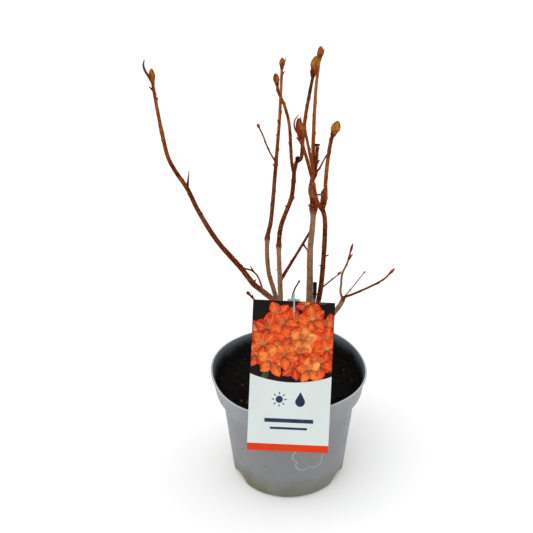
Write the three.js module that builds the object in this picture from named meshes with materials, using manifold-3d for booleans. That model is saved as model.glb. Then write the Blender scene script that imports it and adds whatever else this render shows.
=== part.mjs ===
// A young deciduous azalea in its nursery pot, leafless, with its hang label.
// Millimetres, +Z up, +X to the right, +Y to the back.
// The origin is the centre of the pot's flat underside.

import * as THREE from 'three';
import { mergeVertices } from 'three/addons/utils/BufferGeometryUtils.js';
import Module from 'manifold-3d';

const wasm = await Module();
wasm.setup();

// ---------------------------------------------------------------- driving sizes

const GAP = 0.3; // clearance between pieces that rest on each other

const POT_HEIGHT = 113.5;
const POT_RIM_RADIUS = 75;
const POT_FOOT_RADIUS = 55.6;
const POT_WALL = 1.2;
const POT_FLOOR = 2.2;
const POT_LIP = 1.8; // thickness of the rolled lip
const LIP_STEP = 0.5; // height in which the wall steps out to the lip
const POT_FOOT_ROUND = 2.5; // rounding where the wall meets the underside
const POT_SIDES = 48;
const CUT_OVER = 1; // how far the pot's hollow is cut out past its rim
const COLLAR_TOP_RADIUS = 73.4;
const COLLAR_FOOT_RADIUS = 71.2;
const COLLAR_FOOT_HEIGHT = 93;
const COLLAR_ROUND = new THREE.Vector2(1, 2); // where the shoulder turns up into the collar
const SHOULDER_HEIGHT = 86.5; // where the soft shoulder runs into the body
const SHOULDER_RADIUS = 64.3;

// The thin pot is pressed out of round. Each press bulges the rim by so many
// millimetres in so many lobes, one of them towards the given heading.
const PRESSES = [
  { lobes: 2, bulge: 1.5, heading: 54 },
  { lobes: 4, bulge: 1.4, heading: -25 },
];

const NOTCH_HEADINGS = [-30, 30, 150, 210]; // low arches pressed into the foot
const NOTCH_WIDTH = 24;
const NOTCH_HEIGHT = 9;
const NOTCH_TOP_DEPTH = 4;
const NOTCH_FOOT_DEPTH = 8;
const NOTCH_RINGS = [4.5, 7.5, 9.5]; // heights of the rings that carry their shape

const SOIL_LEVEL = 98;
const SOIL_GAP = 0.4; // clearance between the soil and the wall
const SOIL_FLAT_RADIUS = 24; // level patch that the crown of the plant stands on
const SOIL_SWELL = 1.1; // height of the soil's low mounds
const SOIL_RINGS = [56, 46, 36]; // radii of the surface's rings outside the level patch
const SOIL_EDGE = 1; // width and height of the rounding at the soil's edge
const MOUND_PACE = new THREE.Vector2(9, 11); // the mounds' spacing is 2 pi times this
const MOUND_SHIFT = new THREE.Vector2(1, -0.5);

const CARD_WIDTH = 70;
const CARD_BELOW_RIM = 31;
const CARD_ABOVE_RIM = 99;
const CARD_OFFSET = 0.4; // of its middle from the pot's, to the right
const CARD_THICKNESS = 0.6;
const CARD_CORNER = 0.6;
const CARD_LEAN = 23.3; // degrees back from upright
const CARD_TURN = 2.6; // degrees clockwise as seen from the front
const CARD_HOLE = new THREE.Vector2(0.3, 89.5); // from the middle of the rim line
const CARD_HOLE_RADIUS = 2.6;

const TIE_RADIUS = 0.7;
const TIE_BAR = new THREE.Vector3(11, 3.4, 1);
const TIE_BAR_PLACE = new THREE.Vector3(-0.4, 99.2, -1.1);

const CROWN_SPOT = new THREE.Vector2(6.2, 1.3); // where the plant stands on the soil
const FLARE = 4.5; // how far the root flare stands out at the soil
const FLARE_HEIGHT = 4; // height in which the flare falls to about a third
const FLARE_LOBES = 5;
const LOBE_SHARE = 0.4; // how much the lobes rise and fall about the flare
const CROWN_GROWTH = [[12, 0, 0], [12, 4, 0]]; // steps, as in the limbs below
const CROWN_FOOT_RADIUS = 6.6;
const CROWN_TOP_RADIUS = 5.6;
const CROWN_SIDES = 15;
const CROWN_RINGS = 6;

// ---------------------------------------------------------------- the plant

// A limb leaves its parent's centre line at a height and grows in steps:
// [length, degrees to the right of upright, degrees towards the back].
// girth holds its diameter at the foot and at the tip, and a knuckle is a
// swollen joint at a height. A bud closes a shoot: [length, diameter].
const KNUCKLE_SPREAD = 5; // a knuckle fades over about this height
const RING_PACE = 2.2; // rings lie this many girths apart
const LEAST_GIRTH = 2.6; // thinner limbs get rings as this one does
const STEM_SIDES = 8;
const SHOOT_SIDES = 6;
const TWIG_SIDES = 5;

const LIMBS = {
  left_trunk: {
    parent: 'root_crown', height: 112, girth: [9.4, 8.2], sides: STEM_SIDES,
    growth: [[30, -19, 0], [38, -8, 0]],
  },
  central_stem: {
    parent: 'root_crown', height: 114, girth: [7.4, 4.0], sides: STEM_SIDES,
    growth: [[40, 13, 4], [29, 7, 2], [50, 0.5, 1], [42, 3, 2], [15, -10, 4], [9, 9, 6]],
    knuckle: { height: 272, swell: 3.2 },
  },
  right_stem: {
    parent: 'central_stem', height: 130, girth: [5.0, 3.7], sides: STEM_SIDES,
    growth: [[26, 23, -6], [34, 12, -4], [45, 4, -6], [37, 0, -8], [8, -11, -7]],
  },
  low_branch: {
    parent: 'root_crown', height: 106, girth: [4.9, 4.2], sides: STEM_SIDES,
    growth: [[30, 35, -3], [44, 23, -3], [11, 30, -10], [9, 21, -13]],
  },
  left_stem: {
    parent: 'left_trunk', height: 174, girth: [5.2, 3.0], sides: STEM_SIDES,
    growth: [
      [8, -19, -10], [20, -40, -12], [11, -43, -11], [22, -31, -10],
      [34, -34, -9], [34, -25.5, -8], [20, -20, -7], [19, -28, -6], [12, -22, -5], [19, -10.5, 3],
    ],
  },
  rear_stem: {
    parent: 'left_trunk', height: 174, girth: [4.4, 3.2], sides: STEM_SIDES,
    growth: [[19, -17, 19], [18, -15, 9], [31, -2, 11], [16, 12, 14], [50, 5.5, 12]],
    knuckle: { height: 239, swell: 0.8 },
  },
  middle_stem: {
    parent: 'left_trunk', height: 174, girth: [4.5, 3.5], sides: STEM_SIDES,
    growth: [[14, 4, -17], [58, -1, -5], [17, 7, 0], [27, 19, 2], [13, 7, 0]],
    knuckle: { height: 243, swell: 0.8 },
  },
};

// The bare sprays of young shoots and the small side twigs. The first limb of
// each is its stem; the others leave that one, or the one that they name.
const SPRAYS = {
  left_spray: {
    parent: 'left_stem',
    shoots: [
      { girth: [2.9, 2.4], growth: [[19, -8, 6], [17, -6.5, 5], [3.5, -3, 5]], bud: [10.5, 4.9] },
    ],
  },
  rear_spray: {
    parent: 'rear_stem',
    shoots: [
      { girth: [3.1, 2.2], growth: [[22, 5, 10], [17, 5, 10], [44, 3, 7]], bud: [8.5, 5] },
      {
        height: 305, girth: [1.4, 1.2], bud: [4, 2.6],
        growth: [[15, -26, -15], [14, -18, -17], [9, -22, -13]],
      },
    ],
  },
  middle_spray: {
    parent: 'middle_stem',
    shoots: [
      {
        girth: [3.4, 2.4], bud: [13, 7.8],
        growth: [[10, 4, 0], [9, 13, -14], [4.5, 46, -21], [20, 5.5, 2], [17, 7, 7], [15, 10, 4], [17, 11, 7]],
      },
      {
        height: 308, girth: [2.7, 2.3], bud: [9, 5.3],
        growth: [[7, -15, 17], [34, -4.5, 14], [14, -15, 12], [12, -25, 12], [6, -10, 8]],
      },
    ],
  },
  central_spray: {
    parent: 'central_stem',
    shoots: [
      {
        girth: [3.6, 2.3], bud: [11, 5.4],
        growth: [[6, 26, 10], [9, -12, 20], [11, -1, 21], [15, 1, 15], [37, 2.5, 6], [22, 6, 0]],
      },
      {
        height: 300, girth: [2.6, 2.2], bud: [6, 3],
        growth: [[18, -12, -19], [16, -11, -15], [12, -11, -14]],
      },
      { height: 300, girth: [2.8, 2.7], growth: [[13, 8, 21], [14, 3, 19]] },
      { height: 301, girth: [1.5, 1.2], growth: [[9, 35, 15], [6, 29, 21], [5, 34, 24]] },
    ],
  },
  right_spray: {
    parent: 'right_stem',
    shoots: [
      {
        girth: [3.2, 2.4], bud: [16, 6.4],
        growth: [[9, -29, -26], [11, -17, -16], [13, -11, -9], [31, -15.5, -8], [6, -22, -7], [3, -6, -7]],
      },
      {
        height: 278, girth: [3.2, 2.9], bud: [12, 7.5],
        growth: [[13, 10, -13], [15, -2, -15], [29, 3.5, -14], [12, 8, -16], [4, 16, -16]],
      },
      { height: 279, girth: [3.6, 3.2], growth: [[8, 5, 14], [7, 2, 12]] },
    ],
  },
  low_spray: {
    parent: 'low_branch',
    shoots: [
      {
        girth: [2.1, 1.5], bud: [9, 2.2],
        growth: [[8, -17, 0], [7, 3, 16], [10, 5, 11], [11, 26, 21], [9, 17, 22]],
      },
      {
        height: 191, girth: [2, 1.5], bud: [8, 2.4],
        growth: [[7, 54, -32], [34, 47, -28], [12, 42, -23], [5, 33, -15]],
      },
      {
        height: 192.5, from: 1, girth: [1.1, 0.9], bud: [3, 1.4],
        growth: [[13, 50, 34], [14, 54, 43], [3, 52, 39]],
      },
    ],
  },
  left_side_twig: {
    parent: 'left_stem', height: 196, sides: TWIG_SIDES,
    shoots: [
      {
        girth: [1.8, 1.3],
        growth: [[15, -9, -24], [10, -18, -24], [7, -41, -17], [5, -79, 11], [5, -68, 11]],
      },
    ],
  },
  middle_side_twig: {
    parent: 'middle_stem', height: 207, sides: TWIG_SIDES,
    shoots: [
      { girth: [2.9, 2.0], growth: [[27, 38, 33], [29, 36, 30]] },
      { height: 234, girth: [1.6, 1.3], growth: [[8, 147, 0]] },
    ],
  },
  right_side_twig: {
    parent: 'right_stem', height: 198, sides: TWIG_SIDES,
    shoots: [
      { girth: [1.4, 1.1], growth: [[12, 61, 30], [8, 68, 39], [2, 60, 36]], bud: [4, 2.4] },
    ],
  },
  low_left_twig: {
    parent: 'left_trunk', height: 140, sides: TWIG_SIDES,
    shoots: [
      { girth: [2.4, 1.5], growth: [[51, -24.5, -16], [15, -35, -16], [4, -33, -15]], bud: [5, 3.1] },
    ],
  },
  front_twig: {
    parent: 'root_crown', height: 110, sides: TWIG_SIDES,
    shoots: [
      { girth: [2.2, 1.2], growth: [[92, -2.2, -18], [14, 9, -14], [9, 21, -18]], bud: [4, 1.7] },
    ],
  },
  cut_stub: {
    parent: 'central_stem', height: 160, sides: SHOOT_SIDES,
    shoots: [
      { girth: [3.4, 3.2], growth: [[33, 12, -20], [16, 2, -4]] },
      { height: 194, girth: [1.2, 0.9], growth: [[4, 67, -6]] },
    ],
  },
};

// ---------------------------------------------------------------- solids

function toSolid(geometry) {
  const bare = geometry.clone();
  bare.deleteAttribute('normal');
  bare.deleteAttribute('uv');
  const merged = mergeVertices(bare, 1e-4);
  const mesh = new wasm.Mesh({
    numProp: 3,
    vertProperties: new Float32Array(merged.attributes.position.array),
    triVerts: new Uint32Array(merged.index.array),
  });
  return new wasm.Manifold(mesh);
}

function toGeometry(solid) {
  const { vertProperties, triVerts } = solid.getMesh();
  const geometry = new THREE.BufferGeometry();
  geometry.setAttribute('position', new THREE.BufferAttribute(vertProperties, 3));
  geometry.setIndex(new THREE.BufferAttribute(triVerts, 1));
  geometry.computeVertexNormals();
  return geometry;
}

function largestBody(solid) {
  const bodies = solid.decompose();
  return bodies.reduce((best, body) => (body.volume() > best.volume() ? body : best));
}

// ---------------------------------------------------------------- pot and soil

function rimBulge(angle) {
  let bulge = 0;
  for (const press of PRESSES) {
    bulge += press.bulge * Math.cos(press.lobes * (angle - THREE.MathUtils.degToRad(press.heading)));
  }
  return bulge;
}

// How far the foot's notches push the wall in, more at the underside than above.
function notchPush(angle, height) {
  const arch = (heading) => {
    const turn = angle - THREE.MathUtils.degToRad(heading);
    const aside = Math.abs(Math.atan2(Math.sin(turn), Math.cos(turn))) * POT_FOOT_RADIUS;
    return 1 - (aside / (NOTCH_WIDTH / 2)) ** 2 - (height / NOTCH_HEIGHT) ** 2;
  };
  if (Math.max(...NOTCH_HEADINGS.map(arch)) <= 0) return 0;
  return THREE.MathUtils.lerp(NOTCH_FOOT_DEPTH, NOTCH_TOP_DEPTH, height / NOTCH_HEIGHT);
}

// Presses a turned shape out of round and notches its foot. The press grows
// with the square of the height and fades from the wall to the axis.
function pressOutOfRound(geometry) {
  const points = geometry.attributes.position;
  for (let i = 0; i < points.count; i += 1) {
    const x = points.getX(i);
    const y = points.getY(i);
    const height = points.getZ(i);
    const radius = Math.hypot(x, y);
    if (radius === 0) continue;
    const angle = Math.atan2(y, x);
    const share = (height / POT_HEIGHT) ** 2 * Math.min(1, radius / wallRadius(height));
    const scale = 1 + (rimBulge(angle) * share - notchPush(angle, height)) / radius;
    points.setXY(i, x * scale, y * scale);
  }
}

// Inner radius of the pot's wall at a height, before it is pressed.
function wallRadius(height) {
  if (height < SHOULDER_HEIGHT) {
    const share = height / SHOULDER_HEIGHT;
    return THREE.MathUtils.lerp(POT_FOOT_RADIUS, SHOULDER_RADIUS, share) - POT_WALL;
  }
  if (height < COLLAR_FOOT_HEIGHT) {
    const share = (height - SHOULDER_HEIGHT) / (COLLAR_FOOT_HEIGHT - SHOULDER_HEIGHT);
    return THREE.MathUtils.lerp(SHOULDER_RADIUS, COLLAR_FOOT_RADIUS, share) - POT_WALL;
  }
  const share = (height - COLLAR_FOOT_HEIGHT) / (POT_HEIGHT - COLLAR_FOOT_HEIGHT);
  return THREE.MathUtils.lerp(COLLAR_FOOT_RADIUS, COLLAR_TOP_RADIUS, share) - POT_WALL;
}

function turned(profile) {
  const geometry = new THREE.LatheGeometry(profile.map(([r, z]) => new THREE.Vector2(r, z)), POT_SIDES);
  geometry.rotateX(Math.PI / 2);
  return geometry;
}

function potGeometry() {
  const lipFoot = POT_HEIGHT - POT_LIP;
  const inner = (height) => [wallRadius(height), height];
  const outer = (height) => [wallRadius(height) + POT_WALL, height];
  const outside = turned([
    [0, 0],
    [POT_FOOT_RADIUS - POT_FOOT_ROUND, 0],
    [POT_FOOT_RADIUS - POT_FOOT_ROUND / 3, POT_FOOT_ROUND / 3],
    outer(POT_FOOT_ROUND),
    ...NOTCH_RINGS.map(outer),
    [SHOULDER_RADIUS, SHOULDER_HEIGHT],
    [COLLAR_FOOT_RADIUS - COLLAR_ROUND.x, COLLAR_FOOT_HEIGHT - COLLAR_ROUND.y],
    [COLLAR_FOOT_RADIUS, COLLAR_FOOT_HEIGHT],
    [COLLAR_TOP_RADIUS, lipFoot],
    [POT_RIM_RADIUS, lipFoot + LIP_STEP],
    [POT_RIM_RADIUS, POT_HEIGHT],
    [0, POT_HEIGHT],
  ]);
  const inside = turned([
    [0, POT_FLOOR],
    inner(POT_FLOOR),
    ...NOTCH_RINGS.map(inner),
    inner(SHOULDER_HEIGHT),
    inner(COLLAR_FOOT_HEIGHT),
    inner(lipFoot),
    [POT_RIM_RADIUS - POT_LIP, POT_HEIGHT],
    [POT_RIM_RADIUS - POT_LIP, POT_HEIGHT + CUT_OVER],
    [0, POT_HEIGHT + CUT_OVER],
  ]);
  pressOutOfRound(outside);
  pressOutOfRound(inside);
  return toGeometry(toSolid(outside).subtract(toSolid(inside)));
}

// Low mounds of the soil's surface, nought on the level patch and at the wall.
function soilSwell(x, y) {
  const radius = Math.hypot(x, y);
  const spread = wallRadius(SOIL_LEVEL);
  if (radius <= SOIL_FLAT_RADIUS || radius > spread - SOIL_EDGE) return 0;
  return SOIL_SWELL * Math.sin(x / MOUND_PACE.x + MOUND_SHIFT.x) * Math.cos(y / MOUND_PACE.y + MOUND_SHIFT.y);
}

function soilGeometry() {
  const edge = (height) => [wallRadius(height) - SOIL_GAP, height];
  const bottom = POT_FLOOR + GAP;
  const geometry = turned([
    [0, bottom],
    edge(bottom),
    ...NOTCH_RINGS.map(edge),
    edge(SHOULDER_HEIGHT),
    edge(COLLAR_FOOT_HEIGHT),
    edge(SOIL_LEVEL - SOIL_EDGE),
    ...[...SOIL_RINGS, SOIL_FLAT_RADIUS, 0].map((radius) => [radius, SOIL_LEVEL]),
  ]);
  const points = geometry.attributes.position;
  for (let i = 0; i < points.count; i += 1) {
    if (points.getZ(i) < SOIL_LEVEL - 0.01) continue;
    points.setZ(i, SOIL_LEVEL + soilSwell(points.getX(i), points.getY(i)));
  }
  pressOutOfRound(geometry);
  return toGeometry(toSolid(geometry));
}

// ---------------------------------------------------------------- limbs

function growthCurve(start, growth) {
  const points = [start.clone()];
  for (const [length, right, back] of growth) {
    const r = THREE.MathUtils.degToRad(right);
    const b = THREE.MathUtils.degToRad(back);
    const step = new THREE.Vector3(Math.sin(r) * Math.cos(b), Math.sin(b), Math.cos(r) * Math.cos(b));
    points.push(points.at(-1).clone().addScaledVector(step, length));
  }
  return new THREE.CatmullRomCurve3(points);
}

function pointAtHeight(curve, height) {
  const STEPS = 400;
  for (let i = 0; i <= STEPS; i += 1) {
    const point = curve.getPointAt(i / STEPS);
    if (point.z >= height) return point;
  }
  return curve.getPointAt(1);
}

// A tapering limb with flat cut ends: a capped cylinder whose rings follow the
// curve. grow makes it thicker all round and longer at its tip.
function limbSolid(curve, girth, sides, { knuckle = null, grow = 0 } = {}) {
  const length = curve.getLength();
  const rings = Math.max(2, Math.ceil(length / (RING_PACE * Math.max(girth[0], LEAST_GIRTH))));
  const geometry = new THREE.CylinderGeometry(1, 1, 1, sides, rings);
  const frames = curve.computeFrenetFrames(rings, false);
  const points = geometry.attributes.position;
  const place = new THREE.Vector3();
  for (let i = 0; i < points.count; i += 1) {
    const share = points.getY(i) + 0.5;
    const ring = Math.round(share * rings);
    curve.getPointAt(share, place);
    let radius = THREE.MathUtils.lerp(girth[0], girth[1], share) / 2 + grow;
    if (knuckle) {
      const away = (place.z - knuckle.height) / KNUCKLE_SPREAD;
      radius += (knuckle.swell / 2) * Math.exp(-(away ** 2));
    }
    place.addScaledVector(frames.normals[ring], radius * points.getZ(i));
    place.addScaledVector(frames.binormals[ring], radius * points.getX(i));
    if (ring === rings) place.addScaledVector(frames.tangents[ring], grow);
    points.setXYZ(i, place.x, place.y, place.z);
  }
  return toSolid(geometry);
}

// A pointed bud that sits on the tip of a shoot and swallows its last millimetre.
function budSolid(curve, [length, diameter], grow) {
  const outline = [[0, -1], [0.3, -1], [0.46, 0.18 * length], [0.5, 0.42 * length], [0.33, 0.75 * length]];
  const profile = outline.map(([share, y]) => new THREE.Vector2(share * diameter + (share && grow), y));
  profile.push(new THREE.Vector2(0, length + grow));
  const geometry = new THREE.LatheGeometry(profile, SHOOT_SIDES);
  const turn = new THREE.Quaternion().setFromUnitVectors(new THREE.Vector3(0, 1, 0), curve.getTangentAt(1));
  geometry.applyQuaternion(turn);
  geometry.translate(...curve.getPointAt(1).toArray());
  return toSolid(geometry);
}

// The short foot of the plant, spread out at the soil into a lobed root flare.
function rootCrown(grow) {
  const foot = new THREE.Vector3(CROWN_SPOT.x, CROWN_SPOT.y, SOIL_LEVEL + GAP);
  const curve = growthCurve(foot, CROWN_GROWTH);
  const geometry = new THREE.CylinderGeometry(1, 1, 1, CROWN_SIDES, CROWN_RINGS);
  const points = geometry.attributes.position;
  for (let i = 0; i < points.count; i += 1) {
    const share = points.getY(i) + 0.5;
    const place = curve.getPointAt(share);
    const angle = Math.atan2(points.getZ(i), points.getX(i));
    const spread = Math.exp(-(share * curve.getLength()) / FLARE_HEIGHT);
    const lobe = 1 + LOBE_SHARE * Math.cos(FLARE_LOBES * angle);
    const bare = THREE.MathUtils.lerp(CROWN_FOOT_RADIUS, CROWN_TOP_RADIUS, share);
    const radius = bare + FLARE * spread * lobe + grow;
    place.x += radius * points.getX(i);
    place.y -= radius * points.getZ(i);
    if (share === 1) place.z += grow;
    points.setXYZ(i, place.x, place.y, place.z);
  }
  return { curve, solid: toSolid(geometry) };
}

// ---------------------------------------------------------------- the plant's pieces

const pieces = {}; // name: { curve, solid, grown }, in the order of building

// Keeps a new piece GAP clear of every piece of the plant built before it.
function clearOfOthers(solid) {
  let clear = solid;
  for (const other of Object.values(pieces)) clear = clear.subtract(other.grown);
  return largestBody(clear);
}

function addRootCrown() {
  const { curve, solid } = rootCrown(0);
  pieces.root_crown = { curve, solid, grown: rootCrown(GAP).solid };
}

function addLimb(name, { parent, height, girth, sides, growth, knuckle }) {
  const curve = growthCurve(pointAtHeight(pieces[parent].curve, height), growth);
  const solid = clearOfOthers(limbSolid(curve, girth, sides, { knuckle }));
  pieces[name] = { curve, solid, grown: limbSolid(curve, girth, sides, { knuckle, grow: GAP }) };
}

function spraySolid(curves, shoots, sides, grow) {
  let whole = null;
  shoots.forEach(({ girth, bud }, i) => {
    let shoot = limbSolid(curves[i], girth, sides, { grow });
    if (bud) shoot = shoot.add(budSolid(curves[i], bud, grow));
    whole = whole ? whole.add(shoot) : shoot;
  });
  return whole;
}

// A spray without a height stands on its parent's tip.
function addSpray(name, { parent, height = Infinity, sides = SHOOT_SIDES, shoots }) {
  const curves = [];
  for (const shoot of shoots) {
    const foot = curves.length
      ? pointAtHeight(curves[shoot.from ?? 0], shoot.height)
      : pointAtHeight(pieces[parent].curve, height);
    curves.push(growthCurve(foot, shoot.growth));
  }
  const solid = clearOfOthers(spraySolid(curves, shoots, sides, 0));
  pieces[name] = { curve: curves[0], solid, grown: spraySolid(curves, shoots, sides, GAP) };
}

addRootCrown();
for (const [name, limb] of Object.entries(LIMBS)) addLimb(name, limb);
for (const [name, spray] of Object.entries(SPRAYS)) addSpray(name, spray);

// ---------------------------------------------------------------- card and tie

// The card's own frame: x across, y up its face, z out of its front.
function cardFrame() {
  const lean = THREE.MathUtils.degToRad(90 - CARD_LEAN);
  const turn = THREE.MathUtils.degToRad(CARD_TURN);
  const frame = new THREE.Matrix4().makeRotationX(lean);
  frame.multiply(new THREE.Matrix4().makeRotationZ(-turn));
  const front = new THREE.Vector3(0, 0, 1).transformDirection(frame);
  const reach = rimReach(front) + GAP;
  const y = (reach - front.z * POT_HEIGHT) / front.y;
  frame.setPosition(CARD_OFFSET, y, POT_HEIGHT);
  return frame;
}

// How far the rim's top edge reaches along a direction.
function rimReach(direction) {
  let reach = -Infinity;
  for (let degree = 0; degree < 360; degree += 1) {
    const angle = THREE.MathUtils.degToRad(degree);
    const radius = POT_RIM_RADIUS + rimBulge(angle);
    const edge = new THREE.Vector3(radius * Math.cos(angle), radius * Math.sin(angle), POT_HEIGHT);
    reach = Math.max(reach, edge.dot(direction));
  }
  return reach;
}

function cardGeometry() {
  const right = CARD_WIDTH / 2;
  const c = CARD_CORNER;
  const outline = new THREE.Shape();
  outline.moveTo(-right + c, -CARD_BELOW_RIM);
  outline.lineTo(right - c, -CARD_BELOW_RIM);
  outline.quadraticCurveTo(right, -CARD_BELOW_RIM, right, -CARD_BELOW_RIM + c);
  outline.lineTo(right, CARD_ABOVE_RIM - c);
  outline.quadraticCurveTo(right, CARD_ABOVE_RIM, right - c, CARD_ABOVE_RIM);
  outline.lineTo(-right + c, CARD_ABOVE_RIM);
  outline.quadraticCurveTo(-right, CARD_ABOVE_RIM, -right, CARD_ABOVE_RIM - c);
  outline.lineTo(-right, -CARD_BELOW_RIM + c);
  outline.quadraticCurveTo(-right, -CARD_BELOW_RIM, -right + c, -CARD_BELOW_RIM);
  const hole = new THREE.Path();
  hole.absarc(CARD_HOLE.x, CARD_HOLE.y, CARD_HOLE_RADIUS, 0, 2 * Math.PI, true);
  outline.holes.push(hole);
  const geometry = new THREE.ExtrudeGeometry(outline, {
    depth: CARD_THICKNESS,
    bevelEnabled: false,
    curveSegments: 4,
  });
  return toGeometry(toSolid(geometry));
}

// A plastic strap: through the hole, up the front, over the top edge and down
// the back, with its locking bar just behind the card's top edge.
function tieGeometry() {
  const front = CARD_THICKNESS + TIE_RADIUS + GAP;
  const holeY = CARD_HOLE.y;
  const loop = new THREE.CatmullRomCurve3([
    new THREE.Vector3(0.3, holeY, CARD_THICKNESS / 2),
    new THREE.Vector3(0.3, holeY + 2, front),
    new THREE.Vector3(0, CARD_ABOVE_RIM - 2, front),
    new THREE.Vector3(-0.3, CARD_ABOVE_RIM + 3.5, 1.3),
    new THREE.Vector3(-0.5, CARD_ABOVE_RIM + 6.2, -0.2),
    new THREE.Vector3(-0.6, CARD_ABOVE_RIM + 3.5, -1.4),
    new THREE.Vector3(-0.4, CARD_ABOVE_RIM - 3, -1.4),
    new THREE.Vector3(0, holeY + 1.6, -1.1),
  ], true);
  const strap = toSolid(new THREE.TubeGeometry(loop, 44, TIE_RADIUS, TWIG_SIDES, true));
  const bar = new THREE.BoxGeometry(...TIE_BAR.toArray());
  bar.translate(...TIE_BAR_PLACE.toArray());
  return toGeometry(strap.add(toSolid(bar)));
}

// ---------------------------------------------------------------- the assembly

function finish(colour, roughness) {
  return new THREE.MeshStandardMaterial({ color: colour, roughness, metalness: 0 });
}

function named(name, geometry, material) {
  const mesh = new THREE.Mesh(geometry, material);
  mesh.name = name;
  return mesh;
}

const BARK = { root_crown: 0x6b5140, left_trunk: 0x7a5c49, central_stem: 0x97765f, low_branch: 0x8f6c55 };
const YOUNG_BARK = 0x7b3a22;
const SHOOT_BARK = 0x9a5330;

function buildPlant() {
  const plant = new THREE.Group();
  for (const [name, { solid }] of Object.entries(pieces)) {
    const young = name in SPRAYS ? SHOOT_BARK : YOUNG_BARK;
    plant.add(named(name, toGeometry(solid), finish(BARK[name] ?? young, 0.75)));
  }
  return plant;
}

function buildLabel() {
  const label = new THREE.Group();
  label.add(named('label_card', cardGeometry(), finish(0xe8e9ea, 0.5)));
  label.add(named('label_tie', tieGeometry(), finish(0xb4bbc0, 0.45)));
  label.applyMatrix4(cardFrame());
  return label;
}

const azalea = new THREE.Group();
azalea.add(named('pot', potGeometry(), finish(0x888c8f, 0.55)));
azalea.add(named('soil', soilGeometry(), finish(0x1a1411, 0.95)));
azalea.add(buildPlant());
azalea.add(buildLabel());

export default azalea;
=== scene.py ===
"""A leafless young azalea in its grey pot, with its hang label.

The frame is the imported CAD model: metres, +Z up, +X to the right, +Y to the back.
Sizes below are in millimetres unless their name says otherwise, and MM turns them into metres.
"""

import math
import random

import bmesh
import bpy
from mathutils import Matrix, Vector, noise


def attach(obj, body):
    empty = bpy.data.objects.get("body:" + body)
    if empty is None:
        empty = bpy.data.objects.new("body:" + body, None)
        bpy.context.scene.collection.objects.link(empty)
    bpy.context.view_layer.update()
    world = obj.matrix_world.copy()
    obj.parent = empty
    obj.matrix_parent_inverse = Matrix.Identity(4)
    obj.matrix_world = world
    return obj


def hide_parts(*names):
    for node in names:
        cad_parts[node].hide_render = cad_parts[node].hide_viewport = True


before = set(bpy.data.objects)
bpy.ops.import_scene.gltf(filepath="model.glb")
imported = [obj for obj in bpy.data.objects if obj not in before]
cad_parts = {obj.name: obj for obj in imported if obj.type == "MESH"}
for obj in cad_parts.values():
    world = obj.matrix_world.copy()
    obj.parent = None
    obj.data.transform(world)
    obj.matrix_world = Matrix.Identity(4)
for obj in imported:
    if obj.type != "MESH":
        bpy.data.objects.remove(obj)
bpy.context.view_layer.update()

MM = 0.001

# ---------------------------------------------------------------- camera, floor and light

CAMERA_PLACE = (0, -568.6, 496.5)
CAMERA_DOWN = 26.0  # degrees below level
CAMERA_LENS = 47.96  # on the 36 mm sensor
CAMERA_SHIFT = -0.04128  # the picture is cropped so that the pot stands right of its middle

FLOOR_SIZE = 60000
FLOOR_DROP = 0.1  # the floor lies this far under the pot, so that the two faces don't fight
SKY_FRONT = 0.505  # light of the studio's walls behind the camera, and at the sides and back
SKY_REST = 0.92
SKY_RIGHT = 0.68  # the right wall is brighter by this, against the key light from the left
SKY_LEFT = 0.27
HAZE_RISE = (0.12, 0.17)  # white up to here above the horizon, so that the floor's far edge doesn't show
KEY_STRENGTH = 0.95
KEY_SPREAD = 60.0  # degrees across, so that its shadows are soft
KEY_FROM = (-0.55, -0.6, 1.0)


def put(obj):
    bpy.context.scene.collection.objects.link(obj)
    return obj


def make_camera():
    data = bpy.data.cameras.new("camera")
    data.lens = CAMERA_LENS
    data.shift_x = CAMERA_SHIFT
    data.clip_start = 0.01
    data.clip_end = 50
    camera = put(bpy.data.objects.new("camera", data))
    camera.location = Vector(CAMERA_PLACE) * MM
    camera.rotation_euler = (math.radians(90 - CAMERA_DOWN), 0, 0)
    bpy.context.scene.camera = camera


make_camera()

# ---------------------------------------------------------------- node helpers


def linear(colour, alpha=1.0):
    """A 0xRRGGBB screen colour as linear light."""
    parts = [(colour >> shift & 255) / 255 for shift in (16, 8, 0)]
    return [((p + 0.055) / 1.055) ** 2.4 if p > 0.04045 else p / 12.92 for p in parts] + [alpha]


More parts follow.
